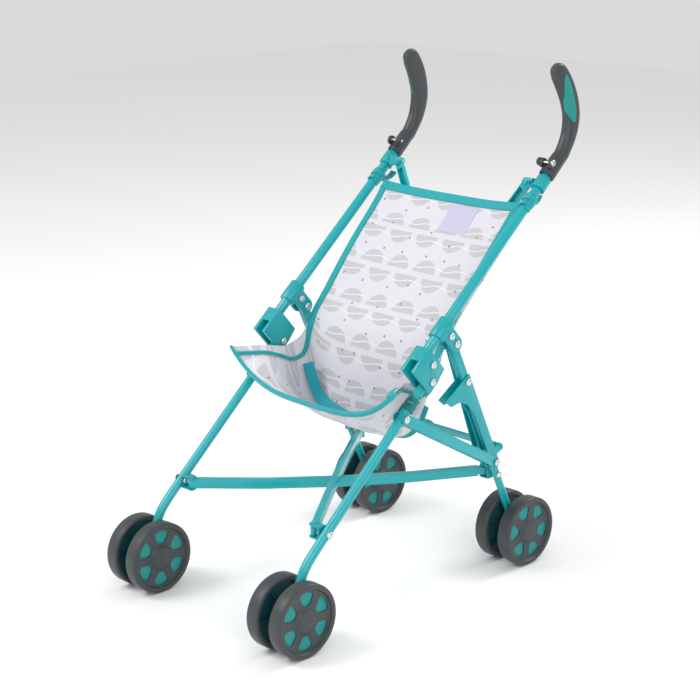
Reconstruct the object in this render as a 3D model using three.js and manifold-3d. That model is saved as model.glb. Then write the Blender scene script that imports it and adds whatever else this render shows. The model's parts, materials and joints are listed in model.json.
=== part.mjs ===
// Doll umbrella stroller: folding tube frame, twin wheels, hanging fabric seat.
// Millimetres, +Z up. The stroller faces -Y; +X is the left side of whoever pushes it.
// Both sides are mirror images in the plane x = 0. Side outlines are drawn in (y, z).
import * as THREE from "three";
import { mergeVertices } from "three/addons/utils/BufferGeometryUtils.js";
import Module from "manifold-3d";

const wasm = await Module();
wasm.setup();

// ---- Driving dimensions ----
const CLEARANCE = 0.4; // between pieces that touch
const TRACK = 224; // between the two side planes
const WHEELBASE = 329;
const WHEEL_DIAMETER = 76;
const WHEEL_WIDTH = 16;
const WHEEL_SPACING = 32; // between the middles of the two wheels of a pair
const RIM_DEPTH = 5.5; // of the tread ring
const WHEEL_RECESS = 4; // depth of the wheel's hollow back
const WHEEL_BOSS = 1.5; // the hub stands this far out of the back
const AXLE_DIAMETER = 4;
const UPPER_TUBE_ANGLE = THREE.MathUtils.degToRad(40.5); // recline of the push tubes
const UPPER_TUBE_LENGTH = 262; // bare tube, hinge to handle
const UPPER_TUBE_DIAMETER = 11;
const TUBE_WALL = 1.2;
const LEG_DIAMETER = 10;
const HIP = { y: 199.3, rise: 236 }; // hinge point on the push tube, rise is over the axles
const HIP_OFFSET = 22.4; // front leg pivot behind the push tube
const HIP_DROP = 34.4; // and down along it
const FRONT_KNEE = { y: 17.4, rise: 44 }; // where the front leg bends towards the axle
const SEAT_PIVOT_DROP = 47.5; // side link pivot, down the front leg from the hip pivot
const FRONT_BRACKET_DROP = 189; // lower bar bracket, down the front leg
const STRUT_OFFSET = 21.6; // upper strut pivot behind the push tube
const STRUT_RISE = 14.5; // and up along it
const STRUT_LENGTH = 49.8;
const STRUT_SWING = THREE.MathUtils.degToRad(16); // forwards, as the frame folds
const REAR_PIVOT_DROP = 108.6; // side link and back arm pivot, down the rear leg
const REAR_BRACKET_DROP = 126; // lower bar bracket, down the rear leg
const TOGGLE_DROP = 101; // lock bar, down the rear leg
const BACK_LUG_ALONG = 213; // back arm lug, up the push tube
const PIN_DIAMETER = 4;
const RIVET_HEAD = 7;
const RIVET_DOME = 1.2;
const BAR_HEIGHT = 10.6; // lower X bars
const BAR_WIDTH = 7;
const BAR_EYE = 4.9; // radius of each bar's rear eye
const BAR_EYE_BORE = 3.4;
const BAR_EYE_NECK = 7.2; // length of the low part, from the eye's middle
const BAR_EYE_PLAY = 1.3; // the eye is lower than the bar by this, above and below
const ARM_WIDTH = 9.4; // back X arms
const ARM_DEPTH = 5.6;
const SHEET_WALL = 1.1; // of every pressed channel
const LINK_HEIGHT = 11;
const ARM_EYE_PLAY = 1.9; // around the pin in the back arm's lower eye, so that it can shift as the frame folds
const ARM_PIN_REACH = 5.2; // the rear pin runs on inwards by this, to carry the back arm
const LINK_PLAY = 1.35; // half the travel of the pin in the side link's rear slot, as the frame folds
const LINK_SLOT = 3.2; // and half the slot's width
const LINK_WEB_GAP = 20; // the web stops this far from each pivot, to let the legs turn
const STRUT_WIDTH = 9.6;
const STRUT_THICKNESS = 8;
const HEAD_THICKNESS = 11;
const PLATE = 1.3; // bracket ears
const TOGGLE_HEIGHT = 9;
const TOGGLE_THICKNESS = 2.6;
const GRIP_RISE = 91; // from the top of the bare tube to the top of the grip
const GRIP_WIDTH = 23;
const GRIP_THICKNESS = 12;
const INSET_WIDTH = 13; // soft oval on the outer face of the grip
const INSET_LENGTH = 50;
const INSET_FLOOR = 0.5; // its bottom, outboard of the side plane
const SEAT_THICKNESS = 2.4;
const SEAT_TOP_ALONG = 184; // seat's top band, up the push tube
const SEAT_FRONT = { y: 132, rise: 157 }; // middle of the seat's front edge
const SEAT_CREASE = { y: 204, rise: 120 }; // lowest line of the seat
const WEBBING = 13; // lap belt width

// ---- Derived points of one side, as (y, z) ----
const AXLE_Z = WHEEL_DIAMETER / 2;
const HALF = TRACK / 2;
const LEG_R = LEG_DIAMETER / 2;
const TUBE_R = UPPER_TUBE_DIAMETER / 2;
const PIN_R = PIN_DIAMETER / 2;
const SWIVEL_PIN_R = PIN_R - 0.4;
const v2 = (y, z) => new THREE.Vector2(y, z);
const ALONG = v2(Math.cos(UPPER_TUBE_ANGLE), Math.sin(UPPER_TUBE_ANGLE));
const BEHIND = v2(Math.sin(UPPER_TUBE_ANGLE), -Math.cos(UPPER_TUBE_ANGLE));
const move = (p, ...steps) => steps.reduce((q, [d, k]) => q.addScaledVector(d, k), p.clone());
const unit = (from, to) => to.clone().sub(from).normalize();
const hip = v2(HIP.y, AXLE_Z + HIP.rise);
const onTube = (along, behind = 0) => move(hip, [ALONG, along], [BEHIND, behind]);
const frontAxle = v2(0, AXLE_Z);
const rearAxle = v2(WHEELBASE, AXLE_Z);
const legPivot = onTube(-HIP_DROP, HIP_OFFSET);
const frontKnee = v2(FRONT_KNEE.y, AXLE_Z + FRONT_KNEE.rise);
const legDown = unit(legPivot, frontKnee);
const linkPivot = move(legPivot, [legDown, SEAT_PIVOT_DROP]);
const frontPivot = move(legPivot, [legDown, FRONT_BRACKET_DROP]);
const strutTop = onTube(STRUT_RISE, STRUT_OFFSET);
const strutDown = unit(strutTop, rearAxle);
const headPivot = move(strutTop, [strutDown, STRUT_LENGTH]);
const onRear = (down, behind = 0) =>
  move(headPivot, [strutDown, down], [v2(-strutDown.y, strutDown.x), behind]);
const rearPivot = onRear(REAR_PIVOT_DROP);
const rearBracket = onRear(REAR_BRACKET_DROP);
const lug = onTube(BACK_LUG_ALONG);
const LINK_INNER = Math.max(LEG_R, HEAD_THICKNESS / 2) + CLEARANCE; // half the channel's inside
const LINK_OUTER = LINK_INNER + SHEET_WALL;
const TUBE_FOOT = -30; // the push tube's lower end leaves the front leg room to swing

// ---- Colours ----
const paint = (color, roughness, metalness = 0) =>
  new THREE.MeshStandardMaterial({ color, roughness, metalness });
const TEAL_STEEL = paint(0x1fbfc4, 0.35, 0.1);
const TEAL_PLASTIC = paint(0x17b3b8, 0.45);
const GREY_PLASTIC = paint(0x55585a, 0.5);
const TEAL_GRIP = paint(0x12a59c, 0.5);
const STEEL = paint(0xc4c6c8, 0.3, 1);
const CLOTH = paint(0xe9e8ea, 0.9);
const WEB = paint(0x1aa9ad, 0.85);

// ---- Helpers: geometry in, closed solids out ----
const ARC = 3; // fineness of a half-round end
const FAR = 40; // longer than anything that it cuts
const stroller = new THREE.Group();
const X = new THREE.Vector3(1, 0, 0);
const side = (p, x) => new THREE.Vector3(x, p.x, p.y);

function solid(geometry) {
  const bare = new THREE.BufferGeometry().setAttribute("position", geometry.getAttribute("position"));
  bare.setIndex(geometry.index);
  const g = mergeVertices(bare, 1e-3);
  const made = new wasm.Manifold(
    new wasm.Mesh({
      numProp: 3,
      vertProperties: new Float32Array(g.attributes.position.array),
      triVerts: new Uint32Array(g.index.array),
    }),
  );
  return made;
}
const union = (...solids) => solids.reduce((a, b) => a.add(b));

function place(name, shape, material) {
  const m = shape.getMesh();
  const g = new THREE.BufferGeometry();
  g.setAttribute("position", new THREE.BufferAttribute(new Float32Array(m.vertProperties), 3));
  g.setIndex(new THREE.BufferAttribute(new Uint32Array(m.triVerts), 1));
  g.computeVertexNormals();
  const mesh = new THREE.Mesh(g, material);
  mesh.name = name;
  stroller.add(mesh);
}

// A round bar between two points.
function rod(from, to, radius, sides = 10) {
  const run = to.clone().sub(from);
  const g = new THREE.CylinderGeometry(radius, radius, run.length(), sides);
  g.applyQuaternion(new THREE.Quaternion().setFromUnitVectors(new THREE.Vector3(0, 1, 0), run.normalize()));
  g.translate(...from.clone().add(to).multiplyScalar(0.5).toArray());
  return solid(g);
}

// A round bar centred on a point.
function pillar(at, axis, half, radius, sides) {
  return rod(at.clone().addScaledVector(axis, -half), at.clone().addScaledVector(axis, half), radius, sides);
}

// A straight bar of a drawn section: its width runs along "across", its length from one point to the other.
function profile(shape, from, to, across) {
  const run = to.clone().sub(from);
  const g = new THREE.ExtrudeGeometry(shape, { depth: run.length(), bevelEnabled: false, curveSegments: 5 });
  const z = run.normalize();
  const x = across.clone().addScaledVector(z, -across.dot(z)).normalize();
  g.applyMatrix4(new THREE.Matrix4().makeBasis(x, z.clone().cross(x), z).setPosition(from));
  return solid(g);
}

// A plate cut from a side outline, from x0 to x1.
function plate(shape, x0, x1) {
  const g = new THREE.ExtrudeGeometry(shape, { depth: Math.abs(x1 - x0), bevelEnabled: false, curveSegments: ARC });
  g.applyMatrix4(new THREE.Matrix4().makeBasis(
    new THREE.Vector3(0, 1, 0), new THREE.Vector3(0, 0, 1), X).setPosition(Math.min(x0, x1), 0, 0));
  return solid(g);
}

// Outlines: a slot shape around two points, and a rectangle.
function stadium(a, b, radius) {
  const angle = Math.atan2(b.y - a.y, b.x - a.x);
  const s = new THREE.Shape();
  s.absarc(a.x, a.y, radius, angle + Math.PI / 2, angle + (3 * Math.PI) / 2);
  s.absarc(b.x, b.y, radius, angle - Math.PI / 2, angle + Math.PI / 2);
  s.closePath();
  return s;
}
function box(w, h) {
  return new THREE.Shape([v2(-w / 2, -h / 2), v2(w / 2, -h / 2), v2(w / 2, h / 2), v2(-w / 2, h / 2)]);
}
// A pressed channel's section: open towards +y, or towards -y when the opening is -1.
function channelSection(w, h, opening = 1) {
  const i = w / 2 - SHEET_WALL;
  const points = [v2(-w / 2, -h / 2), v2(w / 2, -h / 2), v2(w / 2, h / 2), v2(i, h / 2),
    v2(i, -h / 2 + SHEET_WALL), v2(-i, -h / 2 + SHEET_WALL), v2(-i, h / 2), v2(-w / 2, h / 2)];
  return new THREE.Shape(opening > 0 ? points : points.map((p) => v2(-p.x, -p.y)));
}

const SUNK = 0.2; // how far a head sits into the face under it, so that both are one body

// A rivet along an axis: shank and two domed heads, from one point to the other.
function rivet(from, to, radius = PIN_R) {
  const along = unit3(from, to);
  const head = (at, way) => rod(at.clone().addScaledVector(along, -way * SUNK),
    at.clone().addScaledVector(along, way * RIVET_DOME), RIVET_HEAD / 2, 8);
  return union(rod(from, to, radius, 8), head(from, -1), head(to, 1));
}
function unit3(from, to) {
  return to.clone().sub(from).normalize();
}
const crossRivet = (p, x0, x1) => rivet(side(p, x0), side(p, x1));
const bore = (p, x0, x1, radius = PIN_R + CLEARANCE) => rod(side(p, x0), side(p, x1), radius, 8);

// ---- Wheels ----
const WHEEL_BORE = AXLE_DIAMETER / 2 + CLEARANCE;
const HUB_RADIUS = WHEEL_DIAMETER * 0.17;
const BOSS_RADIUS = 7;
const DISC_FACE = 3; // outer face of the disc, from the wheel's middle
const TRIM_THICKNESS = 1.4;
const WHEEL_SIDES = 20; // the tread is flat under the axle
const turned = (section) => {
  const g = new THREE.LatheGeometry(section.map(([r, x]) => v2(r, x)), WHEEL_SIDES);
  return g.rotateZ(-Math.PI / 2).rotateX(Math.PI / WHEEL_SIDES);
};
function wheelShape() {
  const tread = WHEEL_DIAMETER / 2 / Math.cos(Math.PI / WHEEL_SIDES);
  const w = WHEEL_WIDTH / 2;
  const rim = WHEEL_DIAMETER / 2 - RIM_DEPTH;
  const back = -w + WHEEL_RECESS;
  return turned([[WHEEL_BORE, -w - WHEEL_BOSS], [BOSS_RADIUS, -w - WHEEL_BOSS], [BOSS_RADIUS, back], [rim, back],
    [rim, -w], [tread, -w], [tread, w], [rim, w], [rim, DISC_FACE], [HUB_RADIUS, DISC_FACE], [HUB_RADIUS, w - 1],
    [WHEEL_BORE, w - 1], [WHEEL_BORE, -w - WHEEL_BOSS]]);
}
function trimShape() {
  const inner = HUB_RADIUS + 1;
  const outer = WHEEL_DIAMETER / 2 - RIM_DEPTH - 2;
  const near = DISC_FACE + CLEARANCE;
  const far = near + TRIM_THICKNESS;
  return turned([[inner, near], [outer, near], [outer, far], [inner, far], [inner, near]]);
}
function wheelPair(name, s, at) {
  const out = WHEEL_SPACING / 2;
  for (const [which, way] of [["outer", s], ["inner", -s]]) {
    for (const [piece, make, material] of [["wheel", wheelShape, GREY_PLASTIC], ["trim", trimShape, TEAL_PLASTIC]]) {
      const g = make();
      if (way < 0) g.rotateZ(Math.PI);
      g.translate(s * HALF + way * out, at.x, at.y);
      place(`${name}_${which}_${piece}`, solid(g), material);
    }
  }
  const reach = out + WHEEL_WIDTH / 2 - 1.4;
  const axle = rod(side(at, s * HALF - reach), side(at, s * HALF + reach), AXLE_DIAMETER / 2, 10);
  place(`${name}_axle`, axle, STEEL);
}

// ---- Push tube, its collar and the hip hinge ----
const HOUSING = 17; // thickness of the moulded collar and hinge
const COLLAR_WALL = 3;
const COLLAR_EAR = 8.5; // radius of the collar's ear around the strut pin
const CLAMP_PIN_DEPTH = 0.5; // the clamp pin stops this far outside the tube
const bored = (a, b) => (x) => rod(side(onTube(a), x), side(onTube(b), x), TUBE_R + CLEARANCE, 12);

function pushTube(name, s) {
  const x = s * HALF;
  const outer = rod(side(onTube(TUBE_FOOT), x), side(onTube(UPPER_TUBE_LENGTH - 25), x), TUBE_R, 12);
  const inner = rod(side(onTube(TUBE_FOOT - 1), x), side(onTube(UPPER_TUBE_LENGTH - 24), x), TUBE_R - TUBE_WALL, 10);
  place(`${name}_push_tube`, outer.subtract(inner), TEAL_STEEL);
}

function collar(name, s) {
  const x = s * HALF;
  const h = HOUSING / 2;
  const ear = plate(stadium(onTube(STRUT_RISE, 0), onTube(STRUT_RISE, STRUT_OFFSET), COLLAR_EAR), x - h, x + h);
  const ring = rod(side(onTube(STRUT_RISE - 12), x), side(onTube(STRUT_RISE + 12), x), TUBE_R + COLLAR_WALL, 12);
  const room = STRUT_THICKNESS / 2 + CLEARANCE;
  const swung = strutDown.clone().rotateAround(v2(0, 0), -STRUT_SWING);
  const fork = union(...[strutDown, swung].map((way) =>
    plate(stadium(strutTop, move(strutTop, [way, FAR]), STRUT_WIDTH / 2 + 1), x - room, x + room)));
  const body = union(ear, ring).subtract(bored(STRUT_RISE - FAR, STRUT_RISE + FAR)(x)).subtract(fork);
  const clampPin = onTube(STRUT_RISE, TUBE_R + COLLAR_WALL);
  const pins = union(
    crossRivet(strutTop, x - h, x + h),
    crossRivet(clampPin, x - h, x - TUBE_R - CLAMP_PIN_DEPTH),
    crossRivet(clampPin, x + TUBE_R + CLAMP_PIN_DEPTH, x + h),
  );
  place(`${name}_collar`, union(body, pins), TEAL_PLASTIC);
}

function hipHinge(name, s) {
  const x = s * HALF;
  const h = HOUSING / 2 + 0.5;
  const outline = new THREE.Shape();
  const corners = [[-14, -8], [-14, 26], [-30, 29], [-45, 29], [-45, -8]];
  corners.forEach(([a, n], i) => {
    const p = onTube(a, n);
    if (i) outline.lineTo(p.x, p.y);
    else outline.moveTo(p.x, p.y);
  });
  outline.closePath();
  const slotHalf = LEG_R + CLEARANCE;
  const slot = plate(new THREE.Shape([
    onTube(TUBE_FOOT + 3, 30 + FAR), onTube(-60, 30 + FAR), onTube(-60, -FAR), onTube(TUBE_FOOT - 0.5, -FAR),
    onTube(TUBE_FOOT - 0.5, HIP_OFFSET - 12), onTube(-27, HIP_OFFSET - 7.5), onTube(TUBE_FOOT + 6, HIP_OFFSET - 3),
  ]), x - slotHalf, x + slotHalf);
  const body = plate(outline, x - h, x + h)
    .subtract(bored(TUBE_FOOT - 20, 20)(x))
    .subtract(slot);
  const clampAt = onTube(-22, 9.4);
  const pins = union(crossRivet(legPivot, x - h, x + h), crossRivet(clampAt, x + s * (h - 2), x + s * h));
  place(`${name}_hip_hinge`, union(body, pins), TEAL_PLASTIC);
}

// ---- Front leg: straight from the hip, then bent down to the axle ----
const LAP = 1; // of the straight lengths into the bend
function frontLeg(name, s) {
  const x = s * HALF;
  const top = move(legPivot, [legDown, -3]);
  const bendIn = move(frontKnee, [legDown, -38]);
  const shin = unit(frontKnee, frontAxle);
  const bendOut = move(frontKnee, [shin, 26]);
  const foot = move(frontAxle, [shin, 4.5]);
  const path = new THREE.CurvePath();
  path.add(new THREE.QuadraticBezierCurve3(side(bendIn, x), side(frontKnee, x), side(bendOut, x)));
  const ring = new THREE.Shape();
  ring.absarc(0, 0, LEG_R, 0, 2 * Math.PI);
  const bend = solid(new THREE.ExtrudeGeometry(ring, { extrudePath: path, steps: 6, curveSegments: 6 }));
  const leg = union(
    rod(side(top, x), side(move(bendIn, [legDown, LAP]), x), LEG_R, 12), bend,
    rod(side(move(bendOut, [shin, -LAP]), x), side(foot, x), LEG_R, 12),
    rod(side(legPivot, x - LEG_R), side(legPivot, x + LEG_R), LEG_R, 12),
  );
  const inner = x - s * (LEG_R + PLATE + 2 * CLEARANCE + SUNK);
  const pin = crossRivet(frontPivot, x + s * LEG_R, inner);
  const link = crossRivet(linkPivot, x - LINK_OUTER - CLEARANCE, x + LINK_OUTER + CLEARANCE);
  const axleHole = bore(frontAxle, x - FAR, x + FAR, AXLE_DIAMETER / 2 + CLEARANCE);
  const drilled = leg.subtract(bore(legPivot, x - FAR, x + FAR)).subtract(axleHole);
  place(`${name}_front_leg`, union(drilled, pin, link), TEAL_STEEL);
}

// ---- Upper strut, rear leg and its winged head ----
function strut(name, s) {
  const x = s * HALF;
  const body = plate(stadium(strutTop, headPivot, STRUT_WIDTH / 2), x - STRUT_THICKNESS / 2, x + STRUT_THICKNESS / 2);
  place(`${name}_strut`, body.subtract(bore(strutTop, x - FAR, x + FAR)).subtract(bore(headPivot, x - FAR, x + FAR)),
    TEAL_PLASTIC);
}
const HEAD_WALL = 0.9;
const LOCK_POST_R = 4.4;
function rearHead(name, s) {
  const x = s * HALF;
  const h = HEAD_THICKNESS / 2;
  const wing = new THREE.Shape();
  const [tip, crown] = [onRear(-1, -36.5), onRear(-7, 5.5)];
  wing.moveTo(tip.x, tip.y);
  const under = onRear(9, -32);
  const armpit = onRear(10, -9);
  const sleeveFront = onRear(38, -5.5);
  const sleeveFoot = [onRear(REAR_PIVOT_DROP + 6, -5.5), onRear(REAR_PIVOT_DROP + 6, 5.5)];
  wing.lineTo(under.x, under.y);
  wing.quadraticCurveTo(armpit.x, armpit.y, sleeveFront.x, sleeveFront.y);
  for (const p of [...sleeveFoot, crown]) wing.lineTo(p.x, p.y);
  wing.closePath();
  const hollow = plate(new THREE.Shape([onRear(-30, -60), onRear(REAR_PIVOT_DROP + 30, -60),
    onRear(REAR_PIVOT_DROP + 30, 5.5 - HEAD_WALL), onRear(20, 5.5 - HEAD_WALL), onRear(8, 8), onRear(-30, 8)]),
    x - h + HEAD_WALL, x + h - HEAD_WALL);
  const body = plate(wing, x - h, x + h).subtract(hollow);
  // The lock bar's post stands on the back of the head.
  const layer = toggleLayer(s);
  const postEnd = layer + TOGGLE_THICKNESS + CLEARANCE;
  const post = (from, to, radius) =>
    rod(side(onRear(TOGGLE_DROP, from), x), side(onRear(TOGGLE_DROP, to), x), radius, 10);
  const lockPost = union(
    post(h - HEAD_WALL, layer - CLEARANCE, LOCK_POST_R),
    post(h, postEnd, PIN_R),
    post(postEnd - SUNK, postEnd + RIVET_DOME, RIVET_HEAD / 2),
  );
  const shell = body.subtract(bore(rearPivot, x - FAR, x + FAR));
  place(`${name}_rear_head`, union(shell, crossRivet(headPivot, x - h, x + h), lockPost), TEAL_PLASTIC);
}
function rearLeg(name, s) {
  const x = s * HALF;
  const r = HEAD_THICKNESS / 2 - HEAD_WALL - CLEARANCE;
  const foot = move(rearAxle, [strutDown, 4.5]);
  const tube = rod(side(onRear(12), x), side(foot, x), r, 12)
    .subtract(bore(rearAxle, x - FAR, x + FAR, AXLE_DIAMETER / 2 + CLEARANCE));
  const linkHalf = LINK_OUTER + CLEARANCE;
  const pin = rivet(side(rearPivot, x + s * linkHalf), side(rearPivot, x - s * (linkHalf + ARM_PIN_REACH)));
  const bracketReach = linkHalf + PLATE + CLEARANCE + SUNK;
  const bracketPin = rivet(side(rearBracket, x + s * r), side(rearBracket, x - s * bracketReach));
  place(`${name}_rear_leg`, union(tube, pin, bracketPin), TEAL_STEEL);
}
// The two halves of the lock bar pass each other in two layers behind the rear legs.
const TOGGLE_STAND_OFF = 15;
const toggleLayer = (s) => TOGGLE_STAND_OFF + (s > 0 ? 0 : TOGGLE_THICKNESS + CLEARANCE);
function toggle(name, s) {
  const layer = toggleLayer(s) + TOGGLE_THICKNESS / 2;
  const at = (x) => side(onRear(TOGGLE_DROP, layer), x);
  const r = TOGGLE_HEIGHT / 2;
  const normal = unit3(side(onRear(TOGGLE_DROP, 0), 0), side(onRear(TOGGLE_DROP, 1), 0));
  const from = at(0).addScaledVector(normal, -TOGGLE_THICKNESS / 2);
  const shape = stadium(v2(-s * 9, 0), v2(s * HALF, 0), r);
  const g = new THREE.ExtrudeGeometry(shape, { depth: TOGGLE_THICKNESS, bevelEnabled: false, curveSegments: ARC });
  const up = normal.clone().cross(X);
  g.applyMatrix4(new THREE.Matrix4().makeBasis(X, up, normal).setPosition(from));
  const hole = pillar(at(s * HALF), normal, FAR, PIN_R + CLEARANCE, 12);
  place(`${name}_lock_bar`, solid(g).subtract(hole), TEAL_STEEL);
}

// ---- Side link: a channel that straddles the front leg and the rear leg ----
function sideLink(name, s) {
  const x = s * HALF;
  const [inner, outer] = [LINK_INNER, LINK_OUTER];
  const cheeks = plate(stadium(linkPivot, rearPivot, LINK_HEIGHT / 2), x - outer, x + outer);
  const run = unit(linkPivot, rearPivot);
  const core = plate(stadium(linkPivot, rearPivot, LINK_HEIGHT / 2 + 4), x - inner, x + inner);
  const webUp = v2(-run.y, run.x);
  const a = move(linkPivot, [run, LINK_WEB_GAP]);
  const b = move(rearPivot, [run, -LINK_WEB_GAP]);
  const top = [webUp, LINK_HEIGHT / 2];
  const under = [webUp, LINK_HEIGHT / 2 - SHEET_WALL];
  const webSide = new THREE.Shape([move(a, under), move(b, under), move(b, top), move(a, top)]);
  const web = plate(webSide, x - outer, x + outer);
  const body = union(cheeks.subtract(core), web);
  const slot = plate(stadium(move(rearPivot, [webUp, -LINK_PLAY]), move(rearPivot, [webUp, LINK_PLAY]), LINK_SLOT),
    x - FAR, x + FAR);
  place(`${name}_side_link`, body.subtract(bore(linkPivot, x - FAR, x + FAR)).subtract(slot), TEAL_STEEL);
}

// ---- Back X arms: from a lug high on one push tube to the other side's rear leg ----
const ARM_TOP_X = HALF - 20; // arm's upper pivot, on its own side
const ARM_FOOT_X = HALF - 13; // and its lower end, on the other side
const armSlope = unit(rearPivot, lug);
const armNormal = new THREE.Vector3(0, armSlope.y, -armSlope.x); // rearwards, square to both arms
const armLayer = (s) => s * (ARM_DEPTH / 2 + CLEARANCE);
const offArm = (p, x, k) => side(p, x).addScaledVector(armNormal, k);

const LUG_WALL = 2.6;
function lugClamp(name, s) {
  const x = s * HALF;
  const clamp = rod(side(onTube(BACK_LUG_ALONG - 7), x), side(onTube(BACK_LUG_ALONG + 7), x), TUBE_R + LUG_WALL, 12)
    .subtract(bored(BACK_LUG_ALONG - FAR, BACK_LUG_ALONG + FAR)(x));
  const pin = rod(side(lug, x - s * (TUBE_R + 1.6)), side(lug, x - s * (TUBE_R + 6.2)), PIN_R, 12);
  place(`${name}_back_lug`, union(clamp, pin), TEAL_PLASTIC);
}
// A swivel: a plate that turns on a cross pin, with two ears that hold a bar's end between them.
function swivel(name, s, pivot, plateX, endX, normal, layer, depth, material) {
  const n = normal;
  const length = unit3(new THREE.Vector3(), X.clone().cross(n));
  const half = depth / 2 + CLEARANCE;
  const at = (x, k) => side(pivot, x).addScaledVector(n, layer + k);
  const wide = 5;
  const earShape = stadium(v2(plateX, 0), v2(endX, 0), wide);
  const ear = (k) => {
    const g = new THREE.ExtrudeGeometry(earShape, { depth: PLATE, bevelEnabled: false, curveSegments: ARC });
    const up = n.clone().cross(X);
    g.applyMatrix4(new THREE.Matrix4().makeBasis(X, up, n).setPosition(side(pivot, 0).addScaledVector(n, layer + k)));
    return solid(g);
  };
  const trim = profile(box(40, 40), side(pivot, plateX - (s * PLATE) / 2), side(pivot, plateX + s * FAR), length);
  const span = [layer - half - PLATE, layer + half + PLATE];
  const lo = Math.min(span[0], -5);
  const hi = Math.max(span[1], 5);
  const back = profile(box(wide * 2, hi - lo), side(pivot, plateX - s * PLATE).addScaledVector(n, (lo + hi) / 2),
    side(pivot, plateX).addScaledVector(n, (lo + hi) / 2), length);
  const ears = union(ear(-half - PLATE), ear(half)).subtract(trim);
  const pin = rivet(at(endX, -half - PLATE), at(endX, half + PLATE), SWIVEL_PIN_R);
  const hole = bore(pivot, plateX - s * 6, plateX + s * 6);
  place(name, union(union(ears, back).subtract(hole), pin), material);
}

function backArm(name, s) {
  const foot = offArm(rearPivot, -s * ARM_FOOT_X, armLayer(s));
  const top = offArm(lug, s * ARM_TOP_X, armLayer(s));
  const run = unit3(foot, top);
  const across = run.clone().cross(armNormal);
  const r = ARM_WIDTH / 2;
  const bar = profile(channelSection(ARM_WIDTH, ARM_DEPTH, 1), foot.clone().addScaledVector(run, 8),
    top.clone().addScaledVector(run, -7), across);
  const end = (at, from, to) => {
    const disc = pillar(at, armNormal, ARM_DEPTH / 2, r, 12);
    return disc.add(profile(box(ARM_WIDTH, ARM_DEPTH), from, to, across));
  };
  const topEnd = end(top, top.clone().addScaledVector(run, -9), top);
  const pinHole = pillar(top, armNormal, FAR, SWIVEL_PIN_R + CLEARANCE, 8);
  // The lower end turns into a tab that hangs on the rear leg's cross pin.
  const tabX = [-s * (ARM_FOOT_X + 1.8), -s * (ARM_FOOT_X + 3.6)];
  const tabAt = rearPivot;
  const neckFrom = offArm(rearPivot, (tabX[0] + tabX[1]) / 2, armLayer(s)).addScaledVector(side(armSlope, 0), 7);
  const neck = profile(box(ARM_WIDTH, ARM_DEPTH), neckFrom, foot.clone().addScaledVector(run, 12), across);
  const tab = plate(stadium(tabAt, move(tabAt, [armSlope, 9]), 5.5), tabX[0], tabX[1]);
  const trim = profile(box(60, 60), side(rearPivot, tabX[1]), side(rearPivot, tabX[1] - s * FAR), side(v2(1, 0), 0));
  const headRoom = bore(rearPivot, -s * (ARM_FOOT_X + 1.6), -s * (ARM_FOOT_X - FAR), RIVET_HEAD / 2 + 1.9);
  const body = union(bar, topEnd.subtract(pinHole), tab, neck.subtract(trim)).subtract(headRoom);
  const eye = bore(rearPivot, tabX[0] + s * 3, tabX[1] - s * 3, PIN_R + ARM_EYE_PLAY);
  place(`${name}_back_arm`, body.subtract(eye), TEAL_STEEL);
}

// ---- Lower X bars: from one front leg to the other side's rear leg, one over the other ----
const BAR_FRONT_X = HALF - 17; // bar's turning points, front and rear
const BAR_REAR_X = HALF - 17;
const barSlope = unit(frontPivot, rearBracket);
const barNormal = new THREE.Vector3(0, -barSlope.y, barSlope.x); // square to both bars, upwards
const BAR_BOW = BAR_HEIGHT / 2 + CLEARANCE; // the bars bow apart to cross, the left one over the right one

function lowerBar(name, s) {
  const from = side(frontPivot, s * BAR_FRONT_X);
  const to = side(rearBracket, -s * BAR_REAR_X);
  const length = from.distanceTo(to);
  const bow = s * BAR_BOW * 2;
  const h = BAR_HEIGHT / 2;
  const outline = (height, drop, inset) => {
    const o = new THREE.Shape();
    o.moveTo(inset, -height - drop);
    o.quadraticCurveTo(length / 2, bow - height - drop, length - inset, -height - drop);
    o.lineTo(length - inset, height - drop);
    o.quadraticCurveTo(length / 2, bow + height - drop, inset, height - drop);
    o.closePath();
    return o;
  };
  const run = unit3(from, to);
  const across = run.clone().cross(barNormal);
  const lay = (shape, width) => {
    const g = new THREE.ExtrudeGeometry(shape, { depth: width, bevelEnabled: false, curveSegments: 8 });
    const origin = from.clone().addScaledVector(across, -width / 2);
    g.applyMatrix4(new THREE.Matrix4().makeBasis(run, barNormal, across).setPosition(origin));
    return solid(g);
  };
  const bar = lay(outline(h, 0, 0), BAR_WIDTH).subtract(lay(outline(h, SHEET_WALL, 9), BAR_WIDTH - 2 * SHEET_WALL));
  // The rear end is a wider eye, thinner than the bar, so that it can shift a little on its pin.
  const eye = h - BAR_EYE_PLAY;
  const slim = (way) => {
    const middle = (eye + FAR) / 2;
    const at = (along) => to.clone().addScaledVector(run, along).addScaledVector(barNormal, way * middle);
    return profile(box(BAR_WIDTH + 2, FAR - eye), at(-BAR_EYE_NECK), at(FAR), across);
  };
  const trimmed = bar.subtract(slim(1)).subtract(slim(-1));
  const body = union(
    trimmed,
    pillar(from, barNormal, h - SUNK, BAR_WIDTH / 2, 10),
    pillar(to, barNormal, eye - SUNK, BAR_EYE, 12),
  );
  const pinBore = pillar(from, barNormal, FAR, SWIVEL_PIN_R + CLEARANCE, 8);
  const eyeBore = pillar(to, barNormal, FAR, BAR_EYE_BORE, 12);
  place(`${name}_lower_bar`, body.subtract(pinBore).subtract(eyeBore), TEAL_STEEL);
}

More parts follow.
